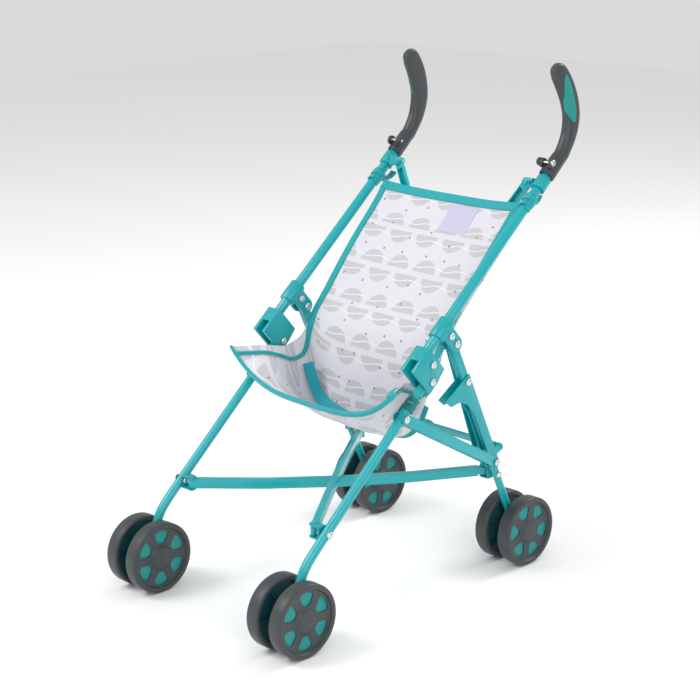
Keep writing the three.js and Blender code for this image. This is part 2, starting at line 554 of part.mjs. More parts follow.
// ---- Handles ----
function handle(name, s) {
  const x = s * HALF;
  const top = onTube(UPPER_TUBE_LENGTH);
  const z0 = top.y;
  const points = [onTube(UPPER_TUBE_LENGTH - 30), onTube(UPPER_TUBE_LENGTH - 12), v2(top.x + 6, z0 + 10),
    v2(top.x + 10, z0 + 34), v2(top.x + 6, z0 + GRIP_RISE - 35), v2(top.x - 4, z0 + GRIP_RISE - 17),
    v2(top.x - 11, z0 + GRIP_RISE - 1)];
  const lean = [0, 0, 0, 1, 2, 4, 5];
  const curve = new THREE.CatmullRomCurve3(points.map((p, i) => side(p, x - s * lean[i])));
  const steps = 12;
  const ringSides = 12;
  const rows = [];
  for (let i = 0; i <= steps; i++) {
    const u = i / steps;
    const at = curve.getPointAt(u);
    const t = curve.getTangentAt(u);
    const deep = X.clone().addScaledVector(t, -X.dot(t)).normalize();
    const wide = t.clone().cross(deep);
    const grow = THREE.MathUtils.smoothstep(u, 0.22, 0.55);
    const close = u > 0.86 ? Math.sqrt(Math.max(0.03, 1 - ((u - 0.86) / 0.145) ** 2)) : 1;
    const w = THREE.MathUtils.lerp(8, GRIP_WIDTH / 2, grow) * close;
    const d = THREE.MathUtils.lerp(8, GRIP_THICKNESS / 2, grow) * (0.4 + 0.6 * close);
    rows.push(Array.from({ length: ringSides }, (_, k) => {
      const a = (2 * Math.PI * k) / ringSides;
      return at.clone().addScaledVector(wide, w * Math.cos(a)).addScaledVector(deep, d * Math.sin(a));
    }));
  }
  const grip = loft(rows);
  const middle = v2(top.x + 2, z0 + GRIP_RISE - 34);
  const tilt = new THREE.Vector3(0, 1, 0.3);
  const inset = profile(oval(INSET_WIDTH, INSET_LENGTH), side(middle, x + s * INSET_FLOOR),
    side(middle, x + s * FAR), tilt);
  const socket = profile(oval(INSET_WIDTH + 2 * CLEARANCE, INSET_LENGTH + 2 * CLEARANCE),
    side(middle, x + s * (INSET_FLOOR - CLEARANCE)), side(middle, x + s * FAR), tilt);
  const hollow = bored(UPPER_TUBE_LENGTH - FAR, UPPER_TUBE_LENGTH - 24)(x);
  const screwAt = onTube(UPPER_TUBE_LENGTH - 13);
  const seat = bore(screwAt, x + s * 5.5, x + s * FAR, RIVET_HEAD / 2 + CLEARANCE);
  place(`${name}_handle`, grip.subtract(hollow).subtract(seat).subtract(socket), GREY_PLASTIC);
  place(`${name}_cuff_screw`, rod(side(screwAt, x + s * 5.9), side(screwAt, x + s * 9), RIVET_HEAD / 2, 14), STEEL);
  const cap = inset.intersect(grip);
  place(`${name}_grip_inset`, cap, TEAL_GRIP);
}
function oval(width, length) {
  const o = new THREE.Shape();
  o.absellipse(0, 0, width / 2, length / 2, 0, 2 * Math.PI);
  return o;
}
// A closed skin over rows of points, each row a closed ring.
function loft(rows) {
  const flat = rows.flat();
  const n = rows[0].length;
  const index = between(rows);
  for (const [row, turned] of [[0, true], [rows.length - 1, false]]) {
    const middle = flat.length;
    flat.push(rows[row].reduce((m, p) => m.add(p), new THREE.Vector3()).multiplyScalar(1 / n));
    for (let k = 0; k < n; k++) {
      const [a, b] = [row * n + k, row * n + ((k + 1) % n)];
      index.push(...(turned ? [b, a, middle] : [a, b, middle]));
    }
  }
  return skinned(flat, index);
}
// The triangles between neighbouring rings.
function between(rows) {
  const n = rows[0].length;
  const index = [];
  for (let i = 0; i + 1 < rows.length; i++) {
    for (let k = 0; k < n; k++) {
      const [a, b] = [i * n + k, i * n + ((k + 1) % n)];
      index.push(a, b, b + n, a, b + n, a + n);
    }
  }
  return index;
}
// A solid from points and triangles, turned to face outwards.
function skinned(points, index) {
  const build = (order) => {
    const g = new THREE.BufferGeometry();
    g.setAttribute("position", new THREE.BufferAttribute(new Float32Array(points.flatMap((p) => p.toArray())), 3));
    g.setIndex(order);
    return solid(g);
  };
  const made = build(index);
  if (made.volume() > 0) return made;
  return build(index.flatMap((_, i) => (i % 3 ? [] : [index[i], index[i + 2], index[i + 1]])));
}

// ---- Seat: one sheet from the top band down to the crease and forward to the front edge ----
const SEAT_HALF = HALF - TUBE_R - 7;
function seatRow(u) {
  const top = onTube(SEAT_TOP_ALONG, 9);
  const low = onTube(-2, 34);
  const crease = v2(SEAT_CREASE.y, AXLE_Z + SEAT_CREASE.rise);
  const front = v2(SEAT_FRONT.y, AXLE_Z + SEAT_FRONT.rise);
  const middle = new THREE.CatmullRomCurve3([side(top, 0), side(move(top, [BEHIND, 6], [ALONG, -70]), 0),
    side(low, 0), side(crease, 0), side(move(crease, [unit(crease, front), 22]), 0), side(front, 0)], false, "chordal");
  const edge = new THREE.CatmullRomCurve3([side(onTube(SEAT_TOP_ALONG, 2), 0), side(onTube(110, 14), 0),
    side(onTube(36, 22), 0), side(onTube(-14, 46), 0), side(onTube(-48, 44), 0),
    side(v2(front.x, front.y + 30), 0)], false, "chordal");
  return [middle.getPoint(u), edge.getPoint(u)];
}
function seat() {
  const [rowsDown, across] = [16, 8];
  const ring = [];
  for (let i = 0; i <= rowsDown; i++) {
    const u = i / rowsDown;
    const [m, e] = seatRow(u);
    const [m2, e2] = seatRow(Math.min(1, u + 0.01));
    const [m0, e0] = seatRow(Math.max(0, u - 0.01));
    const flare = THREE.MathUtils.smoothstep(u, 0.82, 1) * 2;
    const line = [];
    for (let k = 0; k <= across; k++) {
      const v = (2 * k) / across - 1;
      const blend = Math.abs(v) ** 2.2;
      const p = m.clone().lerp(e, blend);
      const d = m2.clone().sub(m0).lerp(e2.clone().sub(e0), blend).normalize();
      p.x = v * (SEAT_HALF + flare);
      line.push([p, new THREE.Vector3(0, -d.z, d.y)]);
    }
    const near = line.map(([p, n]) => p.clone().addScaledVector(n, SEAT_THICKNESS / 2));
    const far = line.map(([p, n]) => p.clone().addScaledVector(n, -SEAT_THICKNESS / 2)).reverse();
    ring.push([...near, ...far]);
  }
  place("seat_sling", stripLoft(ring), CLOTH);
}
// Like loft, with flat ends split across the sheet instead of fanned to a middle.
function stripLoft(rows) {
  const flat = rows.flat();
  const n = rows[0].length;
  const index = between(rows);
  for (const [row, turned] of [[0, true], [rows.length - 1, false]]) {
    for (let k = 0; k < n / 2 - 1; k++) {
      const [a, b, c, d] = [k, k + 1, n - 2 - k, n - 1 - k].map((j) => row * n + j);
      index.push(...(turned ? [b, a, c, c, a, d] : [a, b, c, a, c, d]));
    }
  }
  return skinned(flat, index);
}

// ---- Lap belt and crotch strap, lying just over the seat ----
function belts() {
  const beltRow = 0.62;
  const [, edge] = seatRow(beltRow);
  const reach = SEAT_HALF - 14;
  const front = new THREE.Vector3(0, edge.y - 58, edge.z - 16);
  const points = [-1, -0.55, 0, 0.55, 1].map((v) => {
    const p = front.clone().lerp(new THREE.Vector3(0, edge.y - 12, edge.z + 8), v * v);
    p.x = v * reach;
    return p;
  });
  const curve = new THREE.CatmullRomCurve3(points);
  const rows = [];
  const steps = 16;
  for (let i = 0; i <= steps; i++) {
    const p = curve.getPointAt(i / steps);
    const t = curve.getTangentAt(i / steps);
    const wide = new THREE.Vector3(0, 0.5, 0.87);
    wide.addScaledVector(t, -wide.dot(t)).normalize();
    const thin = t.clone().cross(wide);
    const corner = (a, b) => p.clone().addScaledVector(wide, (a * WEBBING) / 2).addScaledVector(thin, b * 0.8);
    rows.push([corner(-1, -1), corner(1, -1), corner(1, 1), corner(-1, 1)]);
  }
  place("lap_belt", stripLoft(rows), WEB);
  const below = front.clone().add(new THREE.Vector3(0, -4, -WEBBING / 2 - 3));
  const foot = new THREE.Vector3(0, SEAT_FRONT.y + 22, AXLE_Z + SEAT_FRONT.rise - 8);
  place("crotch_strap", profile(box(WEBBING, 1.6), foot, below, X), WEB);
}

// ---- Assembly ----
for (const [name, s] of [["left", 1], ["right", -1]]) {
  wheelPair(`front_${name}`, s, frontAxle);
  wheelPair(`rear_${name}`, s, rearAxle);
  pushTube(name, s);
  collar(name, s);
  hipHinge(name, s);
  frontLeg(name, s);
  strut(name, s);
  rearHead(name, s);
  rearLeg(name, s);
  toggle(name, s);
  sideLink(name, s);
  lugClamp(name, s);
  const lugFace = HALF - TUBE_R - LUG_WALL - CLEARANCE;
  swivel(`${name}_arm_swivel`, s, lug, s * lugFace, s * ARM_TOP_X, armNormal, armLayer(s),
    ARM_DEPTH, TEAL_PLASTIC);
  backArm(name, s);
  swivel(`${name}_front_swivel`, s, frontPivot, s * (HALF - LEG_R - CLEARANCE), s * BAR_FRONT_X, barNormal, 0,
    BAR_HEIGHT, TEAL_PLASTIC);
  swivel(`${name}_rear_swivel`, s, rearBracket, s * (HALF - LINK_OUTER - CLEARANCE), s * BAR_REAR_X, barNormal, 0,
    BAR_HEIGHT, TEAL_PLASTIC);
  lowerBar(name, s);
  handle(name, s);
}
seat();
belts();

// The origin is on the floor, under the middle of the object's box.
const bounds = new THREE.Box3().setFromObject(stroller);
stroller.position.y = -(bounds.min.y + bounds.max.y) / 2;

export default stroller;
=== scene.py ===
# Looks of the doll stroller: smooth tubes and mouldings, spoked wheels, grips and the sewn seat.
import json
import math

import bmesh
import bpy
from mathutils import Matrix, Vector


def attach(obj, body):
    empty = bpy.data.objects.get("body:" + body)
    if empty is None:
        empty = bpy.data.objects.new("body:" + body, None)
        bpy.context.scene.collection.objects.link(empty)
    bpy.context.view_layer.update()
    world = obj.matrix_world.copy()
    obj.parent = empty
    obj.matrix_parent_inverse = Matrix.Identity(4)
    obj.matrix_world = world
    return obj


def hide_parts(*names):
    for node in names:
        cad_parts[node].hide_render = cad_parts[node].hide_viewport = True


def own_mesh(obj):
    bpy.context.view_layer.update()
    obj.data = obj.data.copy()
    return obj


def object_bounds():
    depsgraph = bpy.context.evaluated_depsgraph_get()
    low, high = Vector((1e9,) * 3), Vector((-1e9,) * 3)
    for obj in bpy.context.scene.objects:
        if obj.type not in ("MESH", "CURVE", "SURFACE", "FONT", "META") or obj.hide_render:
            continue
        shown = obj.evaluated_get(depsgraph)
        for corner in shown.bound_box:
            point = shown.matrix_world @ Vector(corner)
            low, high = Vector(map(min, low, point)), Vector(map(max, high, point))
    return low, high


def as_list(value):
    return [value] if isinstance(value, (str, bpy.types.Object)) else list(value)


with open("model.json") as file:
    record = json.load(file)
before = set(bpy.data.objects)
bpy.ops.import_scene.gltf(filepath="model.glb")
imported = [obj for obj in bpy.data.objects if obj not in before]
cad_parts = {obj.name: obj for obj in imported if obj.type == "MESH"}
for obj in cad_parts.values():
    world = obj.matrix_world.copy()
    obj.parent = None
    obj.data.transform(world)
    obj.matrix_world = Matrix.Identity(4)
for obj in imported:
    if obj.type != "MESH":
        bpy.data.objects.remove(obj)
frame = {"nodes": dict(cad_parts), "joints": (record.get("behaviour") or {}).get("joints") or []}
CAD_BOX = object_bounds()
JOINTS = {joint["name"]: joint for joint in frame["joints"]}
MM = 0.001
SIDES = (("left", 1), ("right", -1))


# ---------------------------------------------------------------- places, from the frame
def pivot(joint):
    return Vector(JOINTS[joint]["pos_m"])


HIP_DROP, HIP_OFFSET = 34.4 * MM, 22.4 * MM  # front leg pivot, from the hinge point on the push tube
RECLINE = math.radians(40.5)
ALONG = Vector((0, math.cos(RECLINE), math.sin(RECLINE)))
BEHIND = Vector((0, math.sin(RECLINE), -math.cos(RECLINE)))
HIP = pivot("left_front_leg_hinge") + ALONG * HIP_DROP - BEHIND * HIP_OFFSET
HALF_TRACK = HIP.x


def on_tube(along, behind=0.0, x=0.0):
    """A point beside the push tube: along it and behind it, in mm, at the given x in metres."""
    point = HIP + ALONG * along * MM + BEHIND * behind * MM
    point.x = x
    return point


# ---------------------------------------------------------------- small tools
def deselect():
    if bpy.context.object and bpy.context.object.mode != "OBJECT":
        bpy.ops.object.mode_set(mode="OBJECT")
    bpy.ops.object.select_all(action="DESELECT")


def pick(piece):
    deselect()
    piece.select_set(True)
    bpy.context.view_layer.objects.active = piece


def settle(piece):
    """Moves a piece's place into its mesh."""
    pick(piece)
    bpy.ops.object.transform_apply(location=True, rotation=True, scale=True)
    return piece


def soften(piece, degrees=35):
    pick(piece)
    bpy.ops.object.shade_smooth_by_angle(angle=math.radians(degrees))
    return piece


def apply_all(piece):
    pick(piece)
    for modifier in list(piece.modifiers):
        bpy.ops.object.modifier_apply(modifier=modifier.name)
    return piece


def named(name):
    piece = bpy.context.object
    piece.name = piece.data.name = name
    return piece


def draw(name, points, closed=False):
    """A line of vertices drawn point by point, left in edit mode, with a face over it when closed."""
    deselect()
    bpy.ops.mesh.primitive_plane_add(size=MM)
    piece = named(name)
    bpy.ops.object.mode_set(mode="EDIT")
    bpy.ops.mesh.select_all(action="SELECT")
    bpy.ops.mesh.merge(type="CENTER")
    bpy.ops.transform.translate(value=Vector(points[0]))
    for start, end in zip(points, points[1:]):
        bpy.ops.mesh.extrude_vertices_move(TRANSFORM_OT_translate={"value": Vector(end) - Vector(start)})
    if closed:
        bpy.ops.mesh.select_all(action="SELECT")
        bpy.ops.mesh.edge_face_add()
    return piece


def recalculate(piece):
    pick(piece)
    bpy.ops.object.mode_set(mode="EDIT")
    bpy.ops.mesh.select_all(action="SELECT")
    bpy.ops.mesh.remove_doubles(threshold=0.00001)
    bpy.ops.mesh.normals_make_consistent(inside=False)
    bpy.ops.object.mode_set(mode="OBJECT")
    return piece


def copy_piece(piece, name, matrix=Matrix.Identity(4)):
    copy = bpy.data.objects.new(name, piece.data.copy())
    bpy.context.collection.objects.link(copy)
    copy.data.transform(matrix)
    if matrix.determinant() < 0:
        copy.data.flip_normals()
    return copy


def bevelled(piece, width, segments, angle=30):
    modifier = piece.modifiers.new("edge", "BEVEL")
    modifier.width = width
    modifier.segments = segments
    modifier.limit_method = "ANGLE"
    modifier.angle_limit = math.radians(angle)
    return apply_all(piece)


def turned(name, profile, steps=96):
    """A body turned about the X axis: profile is (x, radius) in mm, from axis to axis."""
    piece = draw(name, [(x * MM, 0, r * MM) for x, r in profile])
    bpy.ops.mesh.select_all(action="SELECT")
    bpy.ops.mesh.spin(steps=steps, angle=math.tau, center=(0, 0, 0), axis=(1, 0, 0))
    bpy.ops.object.mode_set(mode="OBJECT")
    return recalculate(piece)


def slab(name, points, thickness):
    """A plate drawn as a closed outline and pushed along a vector."""
    piece = draw(name, points, closed=True)
    bpy.ops.mesh.extrude_region_move(TRANSFORM_OT_translate={"value": Vector(thickness)})
    bpy.ops.object.mode_set(mode="OBJECT")
    return recalculate(piece)


def skin(name, rings):
    """A closed skin over rings of points."""
    made = bmesh.new()
    rows = [[made.verts.new(point) for point in ring] for ring in rings]
    for low, high in zip(rows, rows[1:]):
        for i in range(len(low)):
            j = (i + 1) % len(low)
            made.faces.new((low[i], low[j], high[j], high[i]))
    made.faces.new(rows[0][::-1])
    made.faces.new(rows[-1])
    mesh = bpy.data.meshes.new(name)
    made.to_mesh(mesh)
    made.free()
    piece = bpy.data.objects.new(name, mesh)
    bpy.context.collection.objects.link(piece)
    return recalculate(piece)


def smooth_route(points, steps):
    """Points along a Catmull-Rom curve through the given ones, of any number of coordinates."""
    route = []
    ends = [points[0], *points, points[-1]]
    for a, b, c, d in zip(ends, ends[1:], ends[2:], ends[3:]):
        for i in range(steps):
            t = i / steps
            route.append([0.5 * (2 * q + (r - p) * t + (2 * p - 5 * q + 4 * r - s) * t * t
                                 + (3 * q - p - 3 * r + s) * t ** 3) for p, q, r, s in zip(a, b, c, d)])
    return [*route, list(points[-1])]


def smooth_line(points, steps):
    return [Vector(point) for point in smooth_route([list(point) for point in points], steps)]


def arc(centre, radius, start, end, steps=5):
    """Points of a round corner, angles in degrees."""
    turn = [math.radians(start + (end - start) * i / steps) for i in range(steps + 1)]
    return [(centre[0] + radius * math.cos(a), centre[1] + radius * math.sin(a)) for a in turn]


def rod(name, start, end, radius, sides=48):
    """A round bar with softened ends."""
    run = end - start
    turn = Vector((0, 0, 1)).rotation_difference(run)
    deselect()
    bpy.ops.mesh.primitive_cylinder_add(vertices=sides, radius=radius, depth=run.length,
                                        location=(start + end) / 2, rotation=turn.to_euler())
    piece = settle(named(name))
    bevelled(piece, min(radius * 0.3, 0.0012), 2, 60)
    return soften(piece)


def bent_tube(name, points, radius, steps=16):
    """A tube bent along a smooth route, closed at its ends."""
    curve = bpy.data.curves.new(name, "CURVE")
    curve.dimensions = "3D"
    curve.resolution_u = steps
    curve.bevel_depth = radius
    curve.bevel_resolution = 8
    curve.use_fill_caps = True
    spline = curve.splines.new("NURBS")
    spline.points.add(len(points) - 1)
    for slot, point in zip(spline.points, points):
        slot.co = (*point, 1)
    spline.use_endpoint_u = True
    spline.order_u = 4
    route = bpy.data.objects.new(name, curve)
    bpy.context.collection.objects.link(route)
    pick(route)
    bpy.ops.object.convert(target="MESH")
    return soften(recalculate(bpy.context.object))


def joined(pieces):
    """Several pieces as one, under the first one's name."""
    pick(pieces[0])
    for piece in pieces[1:]:
        piece.select_set(True)
    if pieces[1:]:
        bpy.ops.object.join()
    return pieces[0]


def cut(piece, tool, operation="DIFFERENCE"):
    """Cuts a piece with a tool, or keeps what they share, and removes the tool."""
    modifier = piece.modifiers.new("cut", "BOOLEAN")
    modifier.operation = operation
    modifier.solver = "EXACT"
    modifier.object = tool
    apply_all(piece)
    bpy.data.objects.remove(tool)
    return piece


def moulding(node, name, edge):
    """A moulded or pressed piece: the node's own shape with merged faces and edges rounded by edge mm."""
    piece = copy_piece(frame["nodes"][node], name)
    piece.data.materials.clear()
    pick(piece)
    bpy.ops.object.mode_set(mode="EDIT")
    bpy.ops.mesh.select_all(action="SELECT")
    bpy.ops.mesh.remove_doubles(threshold=0.00002)
    bpy.ops.mesh.dissolve_limited(angle_limit=math.radians(1.5))
    bpy.ops.object.mode_set(mode="OBJECT")
    bevelled(piece, edge * MM, 2)
    return soften(piece, 38)


def finish_piece(piece, material, body, *nodes, slot=None):
    piece.data.materials.clear()
    piece.data.materials.append(material)
    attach(piece, body)
    if nodes:
        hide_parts(*nodes)
    return piece


# ---------------------------------------------------------------- materials
def linear(colour):
    """An sRGB hex colour as linear RGBA."""
    parts = [int(colour[i:i + 2], 16) / 255 for i in (1, 3, 5)]
    return (*[p / 12.92 if p <= 0.04045 else ((p + 0.055) / 1.055) ** 2.4 for p in parts], 1)


def add(tree, kind, inputs=(), to=None, **settings):
    """Adds a node with its settings and inputs, and may link its output to a socket."""
    node = tree.nodes.new("ShaderNode" + kind)
    for key, value in settings.items():
        setattr(node, key, value)
    for key, value in (inputs.items() if isinstance(inputs, dict) else enumerate(inputs)):
        if isinstance(value, bpy.types.NodeSocket):
            tree.links.new(value, node.inputs[key])
        else:
            node.inputs[key].default_value = value
    if to is not None:
        tree.links.new(node.outputs["Result" if kind == "Mix" else 0], to)
    return node


def surface(name, **settings):
    """A new material with its Principled shader's own values set."""
    material = bpy.data.materials.new(name)
    material.use_nodes = True
    tree = material.node_tree
    shader = tree.nodes["Principled BSDF"]
    for key, value in settings.items():
        shader.inputs[key.replace("_", " ")].default_value = value
    return material, tree, shader.inputs


def powder_coat():
    """Powder-coated steel tube: a thick glossy teal film with faint orange peel 1.5 mm across."""
    material, tree, shader = surface("powder_coated_steel", Roughness=0.3, Coat_Weight=0.25,
                                     Coat_Roughness=0.08)
    place = add(tree, "TexCoord").outputs["Object"]
    cloud = add(tree, "TexNoise", {"Vector": place, "Scale": 25.0, "Detail": 3.0}).outputs["Fac"]
    add(tree, "Mix", {"Factor": cloud, "A": linear("#009BA3"), "B": linear("#00A7AE")},
        to=shader["Base Color"], data_type="RGBA")
    peel = add(tree, "TexNoise", {"Vector": place, "Scale": 650.0, "Detail": 2.0}).outputs["Fac"]
    add(tree, "Bump", {"Height": peel, "Strength": 0.12, "Distance": 0.0002}, to=shader["Normal"])
    return material


def moulded(name, low, high, roughness, grain_mm, depth, coat=0.0):
    """Injection-moulded plastic: even colour with slight flow variation and spark-eroded mould grain."""
    material, tree, shader = surface(name, Coat_Weight=coat, Coat_Roughness=0.2, IOR=1.49)
    place = add(tree, "TexCoord").outputs["Object"]
    flow = add(tree, "TexNoise", {"Vector": place, "Scale": 40.0, "Detail": 4.0}).outputs["Fac"]
    add(tree, "Mix", {"Factor": flow, "A": linear(low), "B": linear(high)},
        to=shader["Base Color"], data_type="RGBA")
    add(tree, "MapRange", {"Value": flow, "To Min": roughness - 0.06, "To Max": roughness + 0.06},
        to=shader["Roughness"])
    scale = 1 / (grain_mm * MM)
    grain = add(tree, "TexNoise", {"Vector": place, "Scale": scale, "Detail": 3.0}).outputs["Fac"]
    add(tree, "Bump", {"Height": grain, "Strength": depth, "Distance": 0.0002}, to=shader["Normal"])
    return material


def zinc_plate():
    """Bright zinc on a steel rivet: pale metal with fine tumbling marks."""
    material, tree, shader = surface("zinc_plated_steel", Metallic=1.0)
    place = add(tree, "TexCoord").outputs["Object"]
    marks = add(tree, "TexNoise", {"Vector": place, "Scale": 900.0, "Detail": 4.0}).outputs["Fac"]
    add(tree, "Mix", {"Factor": marks, "A": linear("#C2C4C4"), "B": linear("#E4E5E6")},
        to=shader["Base Color"], data_type="RGBA")
    add(tree, "MapRange", {"Value": marks, "To Min": 0.22, "To Max": 0.42}, to=shader["Roughness"])
    return material


def weave(tree, shader, uv, pitch_mm, strength, crumple=None):
    """Plain weave from two crossed sets of threads on a UV map in metres, over any crumple of the cloth."""
    # The bands of a wave texture lie 0.31 / Scale apart.
    threads = [add(tree, "TexWave", {"Vector": uv, "Scale": 0.31 / (pitch_mm * MM), "Distortion": 0.4,
                                     "Detail": 1.0}, bands_direction=way).outputs["Fac"] for way in "XY"]
    height = add(tree, "Math", threads, operation="MULTIPLY").outputs[0]
    if crumple is not None:
        height = add(tree, "Math", (crumple, 3.0, height), operation="MULTIPLY_ADD").outputs[0]
    add(tree, "Bump", {"Height": height, "Strength": strength, "Distance": 0.0005}, to=shader["Normal"])
    return height


def webbing(name, low, high, pitch_mm):
    """Woven polyester tape: ribs across its width, soft sheen, and painted shade that darkens the colour in
    the weave's hollows.
    """
    material, tree, shader = surface(name, Roughness=0.72, Sheen_Weight=0.25, Sheen_Roughness=0.4)
    uv = add(tree, "UVMap", uv_map="cloth").outputs["UV"]
    ribs = weave(tree, shader, uv, pitch_mm, 0.55)
    # The low colour is painted shade in the hollows of the weave. The high colour sits on the thread tops.
    add(tree, "Mix", {"Factor": ribs, "A": linear(low), "B": linear(high)},
        to=shader["Base Color"], data_type="RGBA")
    return material


PRINT_REPEAT, PRINT_ROW, DOT_SPACING = 39 * MM, 25 * MM, 31 * MM


def printed_cotton():
    """Printed cotton twill: off-white, with rows of pale grey half rounds, fine waves and small dots."""
    material, tree, shader = surface("printed_cotton", Roughness=0.86, Sheen_Weight=0.18,
                                     Sheen_Roughness=0.5)
    uv = add(tree, "UVMap", uv_map="cloth").outputs["UV"]
    axes = add(tree, "SeparateXYZ", {"Vector": uv}).outputs

    # Odd rows are bowls, even rows are hills, half a repeat apart with a white stripe between them.
    down = add(tree, "Math", (axes["Y"], PRINT_ROW), operation="DIVIDE").outputs[0]
    row = add(tree, "Math", (down,), operation="FLOOR").outputs[0]
    odd = add(tree, "Math", (row, 2.0), operation="FLOORED_MODULO").outputs[0]
    height = add(tree, "Math", (down,), operation="FRACT").outputs[0]
    gap = add(tree, "Math", (odd, height), operation="SUBTRACT").outputs[0]
    gap = add(tree, "Math", (gap,), operation="ABSOLUTE").outputs[0]
    from_base = add(tree, "Math", (gap, 0.11), operation="SUBTRACT").outputs[0]

    # The distance from the middle of each half round, as a share of a row.
    across = add(tree, "Math", (axes["X"], PRINT_REPEAT), operation="DIVIDE").outputs[0]
    across = add(tree, "Math", (odd, 0.5, across), operation="MULTIPLY_ADD").outputs[0]
    across = add(tree, "Math", (across,), operation="FRACT").outputs[0]
    across = add(tree, "Math", (across, 0.5), operation="SUBTRACT").outputs[0]
    sideways = add(tree, "Math", (across, PRINT_REPEAT / PRINT_ROW), operation="MULTIPLY").outputs[0]
    squares = [add(tree, "Math", (part, 2.0), operation="POWER").outputs[0] for part in (sideways, from_base)]
    reach = add(tree, "Math", squares, operation="ADD").outputs[0]
    reach = add(tree, "Math", (reach,), operation="SQRT").outputs[0]
    half_round = add(tree, "MapRange", {"Value": reach, "From Min": 0.61, "From Max": 0.64, "To Min": 1.0,
                                        "To Max": 0.0}).outputs[0]
    above_base = add(tree, "MapRange", {"Value": from_base, "From Min": 0.0, "From Max": 0.03}).outputs[0]
    scallop = add(tree, "Math", (half_round, above_base), operation="MULTIPLY").outputs[0]

    # A fine white line waves through each row of half rounds.
    turn = add(tree, "Math", (axes["X"], math.tau / PRINT_REPEAT), operation="MULTIPLY").outputs[0]
    swell = add(tree, "Math", (turn,), operation="SINE").outputs[0]
    swell = add(tree, "Math", (swell, 0.07), operation="MULTIPLY").outputs[0]
    offset = add(tree, "Math", (from_base, swell), operation="ADD").outputs[0]
    offset = add(tree, "Math", (offset, 0.30), operation="SUBTRACT").outputs[0]
    offset = add(tree, "Math", (offset,), operation="ABSOLUTE").outputs[0]
    line = add(tree, "MapRange", {"Value": offset, "From Min": 0.02, "From Max": 0.035, "To Min": 0.9,
                                  "To Max": 0.0}).outputs[0]

    spots = add(tree, "TexVoronoi", {"Vector": uv, "Scale": 1 / DOT_SPACING, "Randomness": 0.6},
                voronoi_dimensions="2D").outputs["Distance"]
    dot = add(tree, "MapRange", {"Value": spots, "From Min": 0.042, "From Max": 0.052, "To Min": 1.0,
                                 "To Max": 0.0}).outputs[0]
    ground = add(tree, "Mix", {"Factor": scallop, "A": linear("#DAD8DF"), "B": linear("#C4C2C6")},
                 data_type="RGBA").outputs["Result"]
    lined = add(tree, "Mix", {"Factor": line, "A": ground, "B": linear("#E6E4EA")},
                data_type="RGBA").outputs["Result"]
    add(tree, "Mix", {"Factor": dot, "A": lined, "B": linear("#9C8C9C")},
        to=shader["Base Color"], data_type="RGBA")
    place = add(tree, "TexCoord").outputs["Object"]
    crumple = add(tree, "TexNoise", {"Vector": place, "Scale": 30.0, "Detail": 4.0,
                                     "Roughness": 0.5}).outputs["Fac"]
    weave(tree, shader, uv, 0.9, 0.5, crumple)
    return material


# ---------------------------------------------------------------- the pieces' materials
POWDER = powder_coat()
TEAL_NYLON = moulded("teal_nylon", "#00969D", "#00A1A8", 0.34, 0.35, 0.18, 0.15)
GREY_NYLON = moulded("grey_nylon", "#323739", "#3C4144", 0.42, 0.3, 0.25)
DARK_NYLON = moulded("dark_grey_nylon", "#292F32", "#343A3D", 0.42, 0.3, 0.25)
SOFT_TEAL = moulded("teal_soft_rubber", "#008380", "#008E8A", 0.5, 0.25, 0.3)
# A darker copy of the teal plastic: painted shade for the wheels' ribbed backs, which face the narrow gap
# inside each pair.
TEAL_PAINTED_SHADE = moulded("teal_nylon_painted_shade", "#003F44", "#004A4F", 0.5, 0.3, 0.25)
ZINC = zinc_plate()
COTTON = printed_cotton()
TAPE = webbing("polyester_binding_tape", "#049DA4", "#10ADB3", 0.9)
BELT = webbing("polyester_belt_webbing", "#068F9C", "#12A0AC", 1.3)
# A darker copy of the binding tape: painted shade on the left front leg's ties and knot.
TIE_TAPE_PAINTED_SHADE = webbing("tie_tape_painted_shade", "#04757B", "#0A878C", 0.9)
LABEL = webbing("woven_satin_label", "#C9C1DC", "#D6CFE6", 0.4)


# ---------------------------------------------------------------- rivets
RIVET_RADIUS, RIVET_HEIGHT = 3.9, 1.75


def dome(name, at, outward):
    """A pressed rivet head, its flat side at a point and its dome facing outward."""
    radius, height = RIVET_RADIUS, RIVET_HEIGHT
    rise = ((0.35, 0.97), (0.72, 0.78), (0.93, 0.45), (1.0, 0.18), (0.9, 0.0))
    profile = [(-0.3, 0.0), (-0.3, radius), (0.0, radius), *[(height * up, radius * out) for up, out in rise]]
    piece = turned(name, profile, 24)
    turn = Vector((1, 0, 0)).rotation_difference(outward).to_matrix().to_4x4()
    piece.data.transform(Matrix.Translation(at) @ turn)
    return soften(piece, 50)


def rivets(name, body, places):
    """All the rivet heads of one body as one piece; places are (point, outward)."""
    heads = [dome(f"{name}_{i}", at, outward) for i, (at, outward) in enumerate(places)]
    piece = joined(heads)
    piece.name = piece.data.name = name
    return finish_piece(piece, ZINC, body, slot="bright_steel")


def cross(point, side, out, back=None):
    """Both ends of a cross pin: out and back are the heads' distances from the side plane, in mm."""
    ends = [(Vector((side * HALF_TRACK + side * out * MM, point.y, point.z)), Vector((side, 0, 0)))]
    if back is not None:
        ends.append((Vector((side * HALF_TRACK - side * back * MM, point.y, point.z)), Vector((-side, 0, 0))))
    return ends


# ---------------------------------------------------------------- wheels
WHEEL_RADIUS, WHEEL_HALF, HUB, DISC = 38.0, 8.0, 13.2, 4.9
WINDOWS = 6
TREAD_ROUND = 2.4  # radius of the tread's two edges
WHEEL_OFFSET = 16 * MM  # middle of each wheel, from the middle of its pair
AXLE_REACH, AXLE_RADIUS = 22 * MM, 2 * MM
WHEEL_TURN = {"front": -3, "rear": 20}  # how the windows stand at rest, in degrees


